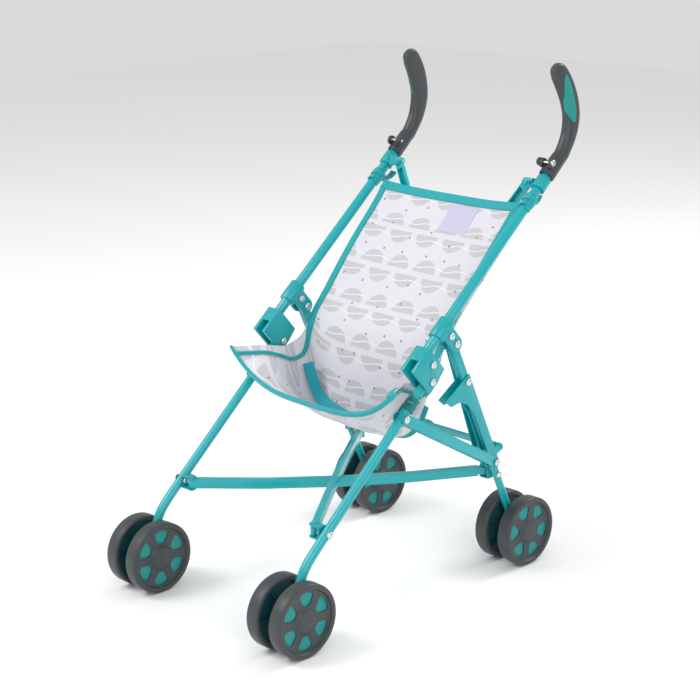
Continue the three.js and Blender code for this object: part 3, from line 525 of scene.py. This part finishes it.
def window_outline(x):
    """One of the openings, at x mm: wide at the rim, narrow at the hub, with round corners."""
    inner, outer = 15.8, 30.4
    near, far = math.radians(12.5), math.radians(20.5)
    corners = [(inner, -near), (inner, near), (outer - 1.5, far), (outer + 0.4, 0.0), (outer - 1.5, -far)]
    corners = [(r * math.cos(a), r * math.sin(a)) for r, a in corners]
    points = []
    count = len(corners)
    for i, corner in enumerate(corners):
        before, after = Vector(corners[i - 1]), Vector(corners[(i + 1) % count])
        here = Vector(corner)
        cut = (3.0, 3.0, 4.6, 5.5, 4.6)[i]
        start, end = here + (before - here).normalized() * cut, here + (after - here).normalized() * cut
        for k in range(6):
            t = k / 5
            blend = start * (1 - t) ** 2 + here * 2 * t * (1 - t) + end * t * t
            points.append((x * MM, blend.x * MM, blend.y * MM))
    return points


def make_wheel():
    """A moulded wheel, its outer face towards +X and centred on the axle: body, insert and ribbed back."""
    w = WHEEL_HALF
    shoulder = [(w + TREAD_ROUND * (math.cos(a) - 1), WHEEL_RADIUS + TREAD_ROUND * (math.sin(a) - 1))
                for a in (math.radians(degrees) for degrees in (0, 22, 45, 68, 90))]
    back_shoulder = [(-x, y) for x, y in reversed(shoulder)]
    profile = [(7.3, 0.0), (7.3, 9.8), (7.0, 11.2), (6.2, 12.3), (DISC + 0.2, HUB), (DISC, HUB + 0.4),
               (DISC, 31.0), (DISC + 0.3, 31.6), (w - 0.9, 32.4), (w - 0.25, 32.9), (w, 33.7), (w, 34.9),
               *shoulder, *back_shoulder, (-w, 33.6), (-w + 0.5, 32.9), (-2.0, 32.3), (-1.5, 31.6),
               (-1.5, 8.0), (-2.0, 7.4), (-9.2, 7.0), (-9.5, 6.6), (-9.5, 0.0)]
    body = turned("wheel_body", profile)
    cutters = []
    for i in range(WINDOWS):
        cutter = slab(f"window_{i}", window_outline(2.6), (10 * MM, 0, 0))
        cutter.data.transform(Matrix.Rotation(math.tau * (i + 0.5) / WINDOWS, 4, "X"))
        cutters.append(cutter)
    cut(body, recalculate(joined(cutters)))
    insert = turned("wheel_insert", [(1.4, 14.0), (1.4, 31.4), (3.5, 31.4), (3.9, 30.4), (3.9, 15.4),
                                     (3.5, 14.0), (1.4, 14.0)], 72)
    # The back of the disc, with its ribs, closes the hollow side.
    back = turned("wheel_back", [(-4.6, 7.2), (-1.6, 7.2), (-1.6, 32.2), (-4.6, 32.2), (-4.6, 7.2)], 72)
    ribs = []
    corners = ((-7.2, 6.8), (-7.2, 32.3), (-4.4, 32.3), (-4.4, 6.8))
    for i in range(WINDOWS):
        rib = slab(f"rib_{i}", [Vector((x, y, -0.7)) * MM for x, y in corners], (0, 0, 1.4 * MM))
        rib.data.transform(Matrix.Rotation(math.tau * i / WINDOWS, 4, "X"))
        ribs.append(rib)
    return soften(body, 32), soften(insert, 40), soften(joined([back, *ribs]), 40)


def wheels():
    body, insert, back = make_wheel()
    for end in ("front", "rear"):
        for name, side in SIDES:
            pair = f"{end}_{name}_wheels"
            centre = pivot(f"{end}_{name}_wheel_spin")
            for which, way in (("outer", side), ("inner", -side)):
                node = f"{end}_{name}_{which}"
                middle = side * HALF_TRACK + way * WHEEL_OFFSET
                turn = Matrix.Rotation(0.0 if way > 0 else math.pi, 4, "Z")
                spun = Matrix.Rotation(math.radians(WHEEL_TURN[end]), 4, "X")
                put = Matrix.Translation((middle, centre.y, centre.z)) @ turn @ spun
                wheel = copy_piece(body, f"{node}_wheel_looks", put)
                finish_piece(wheel, GREY_NYLON, pair, f"{node}_wheel", slot="grey_plastic")
                trim = copy_piece(insert, f"{node}_insert", put)
                finish_piece(trim, SOFT_TEAL, pair, f"{node}_trim", slot="teal_plastic")
                ribbed = copy_piece(back, f"{node}_back", put)
                # The ribbed back is teal plastic, coloured darker as painted shade for the gap between the
                # paired wheels.
                finish_piece(ribbed, TEAL_PAINTED_SHADE, pair, slot="teal_plastic")
            reach = Vector((AXLE_REACH, 0, 0))
            axle = rod(f"{end}_{name}_axle_looks", centre - reach, centre + reach, AXLE_RADIUS, 24)
            finish_piece(axle, ZINC, pair, f"{end}_{name}_axle", slot="bright_steel")
    for pattern in (body, insert, back):
        bpy.data.objects.remove(pattern)


# ---------------------------------------------------------------- frame tubes and mouldings
TUBE, LEG, REAR_LEG = 5.5 * MM, 5.0 * MM, 4.3 * MM
LEG_FOOT = 4.5 * MM  # how far a leg runs past its axle
KNEE = Vector((0, 17.4, 44)) * MM  # corner of a front leg's bend, from its axle
TUBE_ENDS = (-29.5, 237)
COLLAR_ENDS, COLLAR_RADIUS = (2.5, 26.5), 8.6 * MM
EAR_RADIUS, EAR_THICKNESS = 8.4 * MM, 4.2 * MM


def at_x(point, x):
    return Vector((x, point.y, point.z))


def front_leg_line(name, x):
    """A front leg's pivot and axle, the corner of its bend, and the direction from pivot to corner."""
    hip = at_x(pivot(f"{name}_front_leg_hinge"), x)
    axle = at_x(pivot(f"front_{name}_wheel_spin"), x)
    knee = axle + KNEE
    return hip, axle, knee, (knee - hip).normalized()


def ear_outline(start, end, radius, x, steps=14):
    """A slot shape around two points of the side plane."""
    along = (end - start).normalized()
    across = Vector((0, along.z, -along.y))
    points = []
    for centre, first in ((start, 90), (end, -90)):
        for i in range(steps + 1):
            a = math.radians(first + 180 * i / steps)
            points.append(at_x(centre + (along * math.cos(a) + across * math.sin(a)) * radius, x))
    return points


def collar(name, side, body):
    """Collar clamped on the push tube: a ring, and an ear that carries the strut's pin."""
    x = side * HALF_TRACK
    low, high = (on_tube(along, 0, x) for along in COLLAR_ENDS)
    ring = rod(f"{name}_collar_ring", low, high, COLLAR_RADIUS, 64)
    finish_piece(ring, TEAL_NYLON, body, f"{name}_collar", slot="teal_plastic")
    pin = pivot(f"{name}_strut_hinge")
    for which, inner in (("outer", 4.4), ("inner", -8.6)):
        outline = ear_outline(on_tube(14.5, 4, x), pin, EAR_RADIUS, x + side * inner * MM)
        ear = slab(f"{name}_collar_{which}", outline, (side * EAR_THICKNESS, 0, 0))
        bevelled(ear, 1.3 * MM, 4, 50)
        finish_piece(soften(ear), TEAL_NYLON, body, slot="teal_plastic")


def side_frame(name, side):
    """One side's tubes, mouldings, links and rivets."""
    x = side * HALF_TRACK
    push, leg, strut, rear = (f"{name}_{part}" for part in ("push_frame", "front_leg", "strut", "rear_leg"))
    tube = rod(f"{name}_tube_looks", *(on_tube(along, 0, x) for along in TUBE_ENDS), TUBE)
    finish_piece(tube, POWDER, push, f"{name}_push_tube", slot="teal_steel")

    # Front leg: straight from the hip, then an easy bend down to the axle.
    hip_pin, axle, knee, down = front_leg_line(name, x)
    shin = (axle - knee).normalized()
    bend = [knee - down * 46 * MM, knee - down * 34 * MM, knee - down * 16 * MM, knee + shin * 2 * MM,
            knee + shin * 18 * MM, knee + shin * 32 * MM]
    route = [hip_pin - down * 5 * MM, hip_pin + down * 60 * MM, *bend, axle + shin * LEG_FOOT]
    tube = bent_tube(f"{name}_front_leg_looks", route, LEG)
    finish_piece(tube, POWDER, leg, f"{name}_front_leg", slot="teal_steel")

    # Rear leg: a straight tube from inside its head to the axle.
    head = at_x(pivot(f"{name}_rear_leg_hinge"), x)
    top = at_x(pivot(f"{name}_strut_hinge"), x)
    fall = (head - top).normalized()
    back_axle = at_x(pivot(f"rear_{name}_wheel_spin"), x)
    tube = rod(f"{name}_rear_leg_looks", head + fall * 12 * MM, back_axle + fall * LEG_FOOT, REAR_LEG)
    finish_piece(tube, POWDER, rear, f"{name}_rear_leg", slot="teal_steel")

    for node, body, edge, material, slot in (
            ("hip_hinge", push, 3.0, TEAL_NYLON, "teal_plastic"),
            ("back_lug", push, 0.7, TEAL_NYLON, "teal_plastic"),
            ("strut", strut, 1.3, TEAL_NYLON, "teal_plastic"),
            ("rear_head", rear, 0.4, TEAL_NYLON, "teal_plastic"),
            ("side_link", f"{name}_side_link", 0.45, POWDER, "teal_steel"),
            ("arm_swivel", f"{name}_arm_swivel", 0.45, TEAL_NYLON, "teal_plastic"),
            ("back_arm", f"{name}_back_arm", 0.4, POWDER, "teal_steel"),
            ("front_swivel", f"{name}_front_swivel", 0.45, TEAL_NYLON, "teal_plastic"),
            ("lower_bar", f"{name}_lower_bar", 0.4, POWDER, "teal_steel"),
            ("rear_swivel", f"{name}_rear_swivel", 0.45, TEAL_NYLON, "teal_plastic"),
            ("lock_bar", f"{name}_lock_bar", 0.6, POWDER, "teal_steel")):
        piece = moulding(f"{name}_{node}", f"{name}_{node}_looks", edge)
        finish_piece(piece, material, body, f"{name}_{node}", slot=slot)

    collar(name, side, push)
    pins = [*cross(pivot(f"{name}_front_leg_hinge"), side, 10.0, 10.0), *cross(on_tube(-22, 9.4), side, 10.0),
            *cross(pivot(f"{name}_strut_hinge"), side, 9.4, 9.4), *cross(on_tube(14.5, 8.5), side, 9.4, 9.4)]
    rivets(f"{name}_hinge_rivets", push, pins)
    rivets(f"{name}_head_rivets", rear, [
        *cross(head, side, 6.5, 6.5), *cross(head + fall * 108.6 * MM, side, 8.2, 13.2),
        *cross(head + fall * 126 * MM, side, 5.0, 9.8)])
    rivets(f"{name}_leg_rivets", leg, [
        *cross(hip_pin + down * 47.5 * MM, side, 8.2, 8.2),
        *cross(hip_pin + down * 189 * MM, side, 5.9, 8.0)])


# ---------------------------------------------------------------- handles
GRIP_TOP = CAD_BOX[1][2]
GRIP_BEND = 262  # along the push tube, where the grip turns upright
CLAMP = (234.5, -10.5)  # the cuff's screw: along the push tube and behind it


def grip_stations():
    """Centre (y, z), half width in the side plane, half depth across it and inward lean, from cuff to top."""
    start = on_tube(GRIP_BEND)
    up = GRIP_TOP - 2.3 * MM
    stations = []
    for along, wide, deep in ((224, 8.1, 8.1), (226, 8.7, 8.7), (238, 8.5, 8.5), (250, 8.2, 8.1),
                              (257, 8.3, 7.8)):
        at = on_tube(along)
        stations.append([at.y / MM, at.z / MM, wide, deep, 0.0])
    y, z = start.y / MM, up / MM
    for dy, drop, wide, deep, lean in (
            (5.0, 78.5, 9.0, 7.2, 0.3), (9.6, 66.0, 10.2, 6.5, 0.6), (11.4, 52.5, 11.1, 6.1, 1.2),
            (8.8, 37.0, 11.7, 5.9, 2.2), (2.4, 21.5, 11.8, 5.8, 3.4), (-5.6, 8.5, 10.9, 5.5, 4.4),
            (-10.3, 2.8, 8.2, 4.9, 4.9), (-12.0, 0.6, 5.2, 3.9, 5.1)):
        stations.append([y + dy, z - drop, wide, deep, lean])
    return stations


def make_grip(side):
    """The grip's skin: round at the cuff, flattening into a rounded oval towards the top."""
    route = smooth_route(grip_stations(), 5)
    rings = []
    for i, (y, z, wide, deep, lean) in enumerate(route):
        before, after = route[max(i - 1, 0)], route[min(i + 1, len(route) - 1)]
        along = Vector((0, after[0] - before[0], after[1] - before[1])).normalized()
        across = Vector((0, along.z, -along.y))
        flat = min(1.0, max(0.0, (i - 22) / 12))
        power = 2.0 / (2.0 + 0.9 * flat)
        ring = []
        for k in range(48):
            a = math.tau * k / 48
            c, s = math.cos(a), math.sin(a)
            u = math.copysign(abs(c) ** power, c) * wide
            v = math.copysign(abs(s) ** power, s) * deep
            centre = Vector((side * (HALF_TRACK / MM - lean), y, z))
            ring.append((centre + across * u + Vector((v, 0, 0))) * MM)
        rings.append(ring)
    return soften(skin("grip", rings), 50)


def oval_bar(name, side, wide, length, inner, outer):
    """An upright oval prism across the side plane, for the coloured pad of a grip; sizes in mm."""
    y, z = on_tube(GRIP_BEND).y / MM, GRIP_TOP / MM
    middle, lean = Vector((0, y + 3.6, z - 37)), Vector((0, -0.22, 1)).normalized()
    across = Vector((0, lean.z, -lean.y))
    points = []
    for k in range(56):
        a = math.tau * k / 56
        taper = 1 - 0.12 * math.sin(a)
        p = middle + lean * math.sin(a) * length / 2 + across * math.cos(a) * wide / 2 * taper
        points.append(Vector((side * inner, p.y, p.z)) * MM)
    return slab(name, points, (side * (outer - inner) * MM, 0, 0))


def handle(name, side):
    """A grip with its cuff slit and coloured pad, clamped on the push tube by two ears and a screw."""
    body = f"{name}_push_frame"
    x = side * HALF_TRACK
    grip = make_grip(side)
    grip.name = grip.data.name = f"{name}_grip"
    bore = rod("bore", on_tube(215, 0, x), on_tube(241, 0, x), TUBE + 0.25 * MM)
    cut(grip, bore)
    pad = cut(copy_piece(grip, f"{name}_grip_pad"), oval_bar("oval", side, 13.6, 52, 110.2, 125), "INTERSECT")
    cut(grip, oval_bar("oval", side, 14.6, 53, 111.2, 125))
    pad.data.transform(Matrix.Translation((side * 0.35 * MM, 0, 0)))
    # The cuff is split along its front, and a dark slot lies at the bend on the inner face.
    slot = rod("slot", on_tube(222, -9, x), on_tube(240, -9, x), 1.5 * MM, 16)
    cut(grip, slot)
    low, high = on_tube(GRIP_BEND, 5, x - side * 7.5 * MM), on_tube(270, 3, x - side * 7.5 * MM)
    cut(grip, rod("slot", low, high, 1.6 * MM, 16))
    soften(grip, 40)
    soften(pad, 40)
    finish_piece(grip, GREY_NYLON, body, f"{name}_handle", slot="grey_plastic")
    finish_piece(pad, SOFT_TEAL, body, f"{name}_grip_inset", slot="grip_teal")

    # Two clamp ears with a round nut and a socket screw.
    for which, shift in (("outer", 1), ("inner", -1)):
        at = x + side * shift * 4.4 * MM
        outline = []
        centre = on_tube(*CLAMP, at)
        for k in range(28):
            a = math.tau * k / 28
            outline.append(centre + ALONG * math.cos(a) * 5.4 * MM + BEHIND * (math.sin(a) * 5.0 + 1.4) * MM)
        ear = slab(f"{name}_{which}_ear", outline, (side * shift * 3.2 * MM, 0, 0))
        bevelled(ear, 0.6 * MM, 3, 50)
        finish_piece(soften(ear), GREY_NYLON, body, slot="grey_plastic")
    put = Matrix.Translation(on_tube(*CLAMP, x)) @ Matrix.Rotation(0 if side > 0 else math.pi, 4, "Z")
    head = turned(f"{name}_clamp_screw", [(-11.8, 0.0), (-11.8, 1.5), (7.2, 1.5), (7.2, 3.2), (8.9, 3.2),
                                          (9.4, 2.8), (9.4, 1.5), (8.2, 1.4), (8.0, 0.0)], 32)
    head.data.transform(put)
    finish_piece(soften(head), ZINC, body, f"{name}_cuff_screw", slot="bright_steel")
    knob = turned(f"{name}_clamp_nut", [(-7.3, 0.0), (-7.3, 4.0), (-8.2, 4.5), (-10.6, 4.5), (-11.5, 3.9),
                                        (-11.7, 2.2), (-11.7, 0.0)], 32)
    knob.data.transform(put)
    finish_piece(soften(knob), DARK_NYLON, body, slot="grey_plastic")


# ---------------------------------------------------------------- seat
SEAT_HALF = 101.5
ROWS, COLUMNS = 132, 96
LENGTH_STEPS = 400
FOLD = 0.56  # where the back turns into the pan, as a share of the length
BINDING = 0.955  # where the side binding is sewn, from the middle out


def seat_lines():
    """The seat's middle line and side line, top to front, as (y, z) in mm."""
    def on(along, behind):
        at = on_tube(along, behind)
        return (at.y / MM, at.z / MM)
    middle = [on(184, 9), on(150, 13), on(100, 19), on(50, 27), on(8, 35), (21.0, 172.0), (12.7, 156.0),
              (-2.0, 160.0), (-26.0, 176.0), (-48.0, 191.0), (-60.0, 197.0)]
    edge = [on(184, 3), on(150, 8), on(100, 14), on(50, 20), on(14, 27), on(-10, 36), on(-24, 34),
            on(-38, 26), on(-48, 14), on(-56, 4), (-61.0, 236.0)]
    return smooth_route(middle, 8), smooth_route(edge, 8)


MIDDLE_LINE, EDGE_LINE = seat_lines()


def along_line(line, u):
    spot = u * (len(line) - 1)
    i = min(int(spot), len(line) - 2)
    t = spot - i
    return [p * (1 - t) + q * t for p, q in zip(line[i], line[i + 1])]


def half_width(u):
    """Half the seat's width in mm: narrow between the tubes, flaring over the front legs."""
    flare = max(0.0, (u - 0.80) / 0.20)
    return SEAT_HALF - 2.5 * math.sin(math.pi * min(1.0, u / 0.6)) ** 2 + 23.0 * flare ** 2.2


def seat_point(u, v, lift=0.0):
    """A point of the seat: u from the top band to the front edge, v from side to side; lift off it in mm."""
    def place(u, v):
        middle, edge = along_line(MIDDLE_LINE, u), along_line(EDGE_LINE, u)
        low = math.exp(-((u - FOLD) / 0.16) ** 2)
        blend = abs(v) ** (3.4 + 2.4 * low)
        y, z = (m * (1 - blend) + e * blend for m, e in zip(middle, edge))
        # Outside its binding the cloth turns back behind the side.
        turn = max(0.0, (abs(v) - BINDING) / (1 - BINDING)) * max(0.0, 1 - u / 0.5) * min(1.0, u / 0.12) * 13
        return Vector((v * half_width(u), y + turn * BEHIND.y, z + turn * BEHIND.z))
    here = place(u, v)
    down = place(min(u + 0.01, 1), v) - place(max(u - 0.01, 0), v)
    across = place(u, min(v + 0.02, 1)) - place(u, max(v - 0.02, -1))
    normal = down.cross(across).normalized()
    slack = math.sin(math.pi * min(max(u, 0), 1)) * (1 - abs(v) ** 4)
    crease = math.exp(-((u - FOLD) / 0.09) ** 2)
    pan = max(0.0, (u - 0.6) / 0.4)
    folds = 0.5 * math.sin(9.0 * v + 4.0 * u + 1.1) * slack
    folds += 1.1 * math.sin(17 * v + 2.2 * math.sin(5 * v)) * crease * (1 - v * v)
    folds += 1.6 * pan * (1 - pan) * 4 * math.sin(7.0 * abs(v) + 9 * u + (0.6 if v > 0 else 0.0)) * abs(v)
    folds += 0.9 * math.sin(22 * u + 3.0 * v) * max(0.0, abs(v) - 0.55) * 2 * (1 - pan)
    return (here + normal * (folds + lift)) * MM


def line_lengths():
    """Running length of the seat along its middle, in metres, at each of its steps."""
    total, lengths, last = 0.0, [0.0], seat_point(0, 0)
    for i in range(1, LENGTH_STEPS + 1):
        here = seat_point(i / LENGTH_STEPS, 0)
        total += (here - last).length
        lengths.append(total)
        last = here
    return lengths


def cloth_map(piece, coordinates):
    """Writes a cloth UV map in metres from one coordinate pair for each vertex."""
    layer = piece.data.uv_layers.new(name="cloth")
    for loop in piece.data.loops:
        layer.data[loop.index].uv = coordinates[loop.vertex_index]


def make_cloth(name, rows, columns, place, flat, thickness):
    """A sheet shaped from a grid: place gives each vertex's point, flat its place in the flat cloth."""
    deselect()
    bpy.ops.mesh.primitive_grid_add(x_subdivisions=columns, y_subdivisions=rows, size=1)
    piece = named(name)
    for layer in list(piece.data.uv_layers):
        piece.data.uv_layers.remove(layer)
    spots = [(vertex.co.x * 2, 0.5 - vertex.co.y) for vertex in piece.data.vertices]
    cloth_map(piece, [flat(u, v) for v, u in spots])
    for vertex, (v, u) in zip(piece.data.vertices, spots):
        vertex.co = place(u, v)
    wall = piece.modifiers.new("thickness", "SOLIDIFY")
    wall.thickness = thickness * MM
    wall.offset = 0
    apply_all(piece)
    return soften(piece, 60)


SQUASHED = []


def soft_piece(piece, material, *nodes, slot="webbing"):
    finish_piece(piece, material, "seat", *nodes, slot=slot)
    SQUASHED.append(piece)
    return piece


def tape_along(name, route, wide, normal, thickness, fold=0.0):
    """A tape along a route of points, its width across it and its face towards the normals; sizes in mm."""
    w, t, cup = wide / 2 * MM, thickness / 2 * MM, fold * MM
    rings, run, lengths = [], 0.0, []
    for i, point in enumerate(route):
        before, after = route[max(i - 1, 0)], route[min(i + 1, len(route) - 1)]
        along = (after - before).normalized()
        up = normal(i) - along * normal(i).dot(along)
        up.normalize()
        side = along.cross(up)
        run += (point - route[i - 1]).length if i else 0.0
        lengths.append(run)
        rings.append([point - side * w - up * (t + cup), point - side * w * 0.5 - up * t,
                      point - up * (t - cup * 0.2),
                      point + side * w * 0.5 - up * t, point + side * w - up * (t + cup),
                      point + side * w + up * (t - cup), point + side * w * 0.5 + up * t,
                      point + up * (t + cup * 0.2), point - side * w * 0.5 + up * t,
                      point - side * w + up * (t - cup)])
    piece = skin(name, rings)
    count = len(rings[0])
    spread = [-0.5, -0.25, 0, 0.25, 0.5, 0.5, 0.25, 0, -0.25, -0.5]
    # No two points of a tape coincide, so the order of its vertices still follows the rings.
    cloth_map(piece, [(lengths[i // count], spread[i % count] * wide * MM)
                      for i in range(len(piece.data.vertices))])
    return soften(piece, 50)


def seat():
    """The cloth, the tapes sewn on its edges and its label: the cloth, all the pieces and its length."""
    lengths = line_lengths()

    def flat(u, v):
        return (v * half_width(u) * MM, -lengths[round(u * LENGTH_STEPS)])
    cloth = make_cloth("seat_cloth", ROWS, COLUMNS, seat_point, flat, 1.0)
    soft_piece(cloth, COTTON, "seat_sling", slot="seat_fabric")
    pieces = [cloth]

    # Folded tape sewn along both sides, under the fold, along the front and along the top.
    for name, side in SIDES:
        route = [seat_point(i / 110, side * BINDING) for i in range(111)]
        tape = tape_along(f"{name}_side_binding", route, 3.4, lambda i, way=side: Vector((way, 0, 0)), 7.5)
        pieces.append(soft_piece(tape, TAPE))
    fold = [seat_point(0.562, v / 40 * 0.9, -2.5) for v in range(-40, 41)]
    hem = tape_along("bottom_binding", fold, 6.5, lambda i: Vector((0, 0.94, 0.34)), 1.6)
    pieces.append(soft_piece(hem, TAPE))
    front = [seat_point(0.998, v / 40) for v in range(-40, 41)]
    edge = tape_along("front_binding", front, 3.6, lambda i: Vector((0, -0.5, 0.86)), 4.6)
    pieces.append(soft_piece(edge, TAPE))
    top = [seat_point(0.012, v / 40 * 0.99) for v in range(-40, 41)]
    band = tape_along("top_binding", top, 3.6, lambda i: ALONG, 10.5)
    pieces.append(soft_piece(band, TAPE))

    # A plain woven label near the top.
    def tag_point(u, v):
        return seat_point(0.036 + 0.085 * u, 0.27 + 0.19 * v, 0.75)
    tag = make_cloth("sewn_label", 14, 18, tag_point, lambda u, v: (v * 12 * MM, -u * 20 * MM), 0.35)
    pieces.append(soft_piece(tag, LABEL))
    return cloth, pieces, lengths[-1]


BELT_WIDTH = 13


def belts():
    """Lap belt from both sides of the pan to its middle, and the strap between the legs."""
    for name, side in SIDES:
        stations = [(0.60, 0.93, 16), (0.62, 0.78, 15), (0.655, 0.58, 14), (0.69, 0.36, 12),
                    (0.715, 0.16, 9), (0.725, 0.04, 8)]
        route = smooth_line([seat_point(u, side * v, lift) for u, v, lift in stations], 8)
        tape = tape_along(f"{name}_lap_belt", route, BELT_WIDTH, lambda i: Vector((0, -0.8, 0.75)), 1.6)
        nodes = ("lap_belt",) if side > 0 else ()
        soft_piece(tape, BELT, *nodes)
    stations = [(0.735, 0.0, 9.6), (0.78, 0.0, 7.5), (0.84, 0.0, 3.4), (0.885, 0.0, 1.2)]
    route = smooth_line([seat_point(u, v, lift) for u, v, lift in stations], 8)
    strap = tape_along("crotch_belt", route, BELT_WIDTH, lambda i: Vector((0, 0.3, 1)), 1.6)
    soft_piece(strap, BELT, "crotch_strap")
    outline = [*arc((9, 5), 3, 0, 90), *arc((-9, 5), 3, 90, 180), *arc((-9, -5), 3, 180, 270),
               *arc((9, -5), 3, 270, 360)]
    middle = seat_point(0.722, 0.0, 10.6)
    buckle = slab("belt_buckle", [middle + Vector((x, y * 0.86, y * -0.5)) * MM for x, y in outline],
                  Vector((0, -0.5, -0.86)) * -2.6 * MM)
    bevelled(buckle, 0.6 * MM, 3, 50)
    soft_piece(soften(buckle), TEAL_NYLON, slot="teal_plastic")


def wrap(name, body, centre, axis, radius, wide, start, end, material):
    """A tape wound around a tube, from one angle to another in degrees, drifting along it as it goes."""
    axis = axis.normalized()
    first = axis.orthogonal().normalized()
    if first.x < 0:
        first = -first
    second = axis.cross(first)
    route, count = [], 48
    for i in range(count + 1):
        t = i / count
        a = math.radians(start + (end - start) * t)
        route.append(centre + (first * math.cos(a) + second * math.sin(a)) * radius * MM
                     + axis * (t - 0.5) * wide * 0.35 * MM)
    piece = tape_along(name, route, wide, lambda i: route[i] - centre, 1.2)
    return finish_piece(piece, material, body, slot="webbing")


def ties():
    """Loops that hold the seat: around both push tubes at the top and around the front legs at the pan."""
    for name, side in SIDES:
        x = side * HALF_TRACK
        for i, along in enumerate((183, 190.5)):
            axis = ALONG + Vector((0, 0, 0.12 * (i - 0.5)))
            wrap(f"{name}_top_loop_{i}", f"{name}_push_frame", on_tube(along, 0, x), axis,
                 6.3 + 0.5 * i, 8.5, 0, 356, TAPE)
        # The folded end of the loop stands off behind the tube.
        tail = [on_tube(188, 4, x), on_tube(192, 9, x - side * 2 * MM), on_tube(200, 12.5, x - side * 4 * MM),
                on_tube(207, 12, x - side * 5 * MM)]
        end = tape_along(f"{name}_top_tail", smooth_line(tail, 6), 9, lambda i: BEHIND, 1.4)
        finish_piece(end, TAPE, f"{name}_push_frame", slot="webbing")
        hip, _, _, down = front_leg_line(name, x)
        # The left side's ties are the same tape as the right's, coloured darker as painted shade.
        material = TAPE if side < 0 else TIE_TAPE_PAINTED_SHADE
        for i, drop in enumerate((26.5, 33.5)):
            axis = down + Vector((0, 0.15 * (i - 0.5), 0))
            wrap(f"{name}_leg_loop_{i}", f"{name}_front_leg", hip + down * drop * MM, axis,
                 5.9 + 0.6 * i, 8.0, 20, 376, material)
        knot = hip + down * 30 * MM
        for i, (dx, dy, dz) in enumerate(((9, -9, 5), (-4, -11, -7), (3, 10, 7))):
            end = knot + Vector((side * dx, dy, dz)) * MM
            start = knot + Vector((side * 2, math.copysign(5.6, dy), 0)) * MM
            route = smooth_line([start, (knot + end) / 2 + Vector((0, 0, 2.2)) * MM, end], 6)
            piece = tape_along(f"{name}_knot_end_{i}", route, 6.5, lambda i: Vector((0.6, 0.2, 1)), 1.3, 0.4)
            finish_piece(piece, material, f"{name}_front_leg", slot="webbing")


# ---------------------------------------------------------------- assembly
wheels()
for name, side in SIDES:
    side_frame(name, side)
    handle(name, side)
sling, sewn, sling_length = seat()
belts()
ties()
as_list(sewn[1:])
for piece in SQUASHED:
    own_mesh(piece)


# ---------------------------------------------------------------- floor, light and camera
def studio():
    """A plain pale floor, a white world and three soft lights."""
    deselect()
    bpy.ops.mesh.primitive_plane_add(size=8, location=(0, 0, -0.0004))
    floor = named("floor")
    pale, tree, shader = surface("pale_floor", Roughness=0.9)
    place = add(tree, "TexCoord").outputs["Object"]
    cloud = add(tree, "TexNoise", {"Vector": place, "Scale": 1.5}).outputs["Fac"]
    add(tree, "Mix", {"Factor": cloud, "A": linear("#F7F7F7"), "B": linear("#FAFAFA")},
        to=shader["Base Color"], data_type="RGBA")
    floor.data.materials.append(pale)
    world = bpy.data.worlds.new("studio")
    bpy.context.scene.world = world
    world.use_nodes = True
    sky = world.node_tree.nodes["Background"].inputs
    sky["Color"].default_value = linear("#FFFFFF")
    sky["Strength"].default_value = 0.7
    bpy.context.scene.view_settings.view_transform = "Standard"
    middle = Vector((0, 0, 0.25))
    for name, place, size, power in (("key", (-0.9, -1.5, 1.9), 1.0, 28), ("fill", (1.9, -0.9, 1.2), 1.2, 14),
                                     ("rim", (0.4, 1.7, 1.6), 0.9, 20)):
        lamp = bpy.data.lights.new(name, "AREA")
        lamp.size = size
        lamp.energy = power
        light = bpy.data.objects.new(name, lamp)
        bpy.context.collection.objects.link(light)
        light.location = place
        light.rotation_euler = (middle - Vector(place)).to_track_quat("-Z", "Y").to_euler()


def camera():
    """A long lens in front of the stroller's left side, looking slightly down."""
    lens = bpy.data.cameras.new("camera")
    lens.lens = 88.9
    lens.sensor_width = 36
    lens.clip_start = 0.01
    eye = bpy.data.objects.new("camera", lens)
    bpy.context.collection.objects.link(eye)
    turn, pitch, roll = (math.radians(a) for a in (46.03, 15.82, -0.45))
    ahead = Vector((-math.sin(turn) * math.cos(pitch), math.cos(turn) * math.cos(pitch), -math.sin(pitch)))
    level = Vector((math.cos(turn), math.sin(turn), 0))
    above = level.cross(ahead)
    right = level * math.cos(roll) + above * math.sin(roll)
    up = above * math.cos(roll) - level * math.sin(roll)
    turned_to = Matrix((right, up, -ahead)).transposed().to_4x4()
    eye.matrix_world = Matrix.Translation((1.2612, -1.2180, 0.7408)) @ turned_to
    bpy.context.scene.camera = eye


studio()
camera()
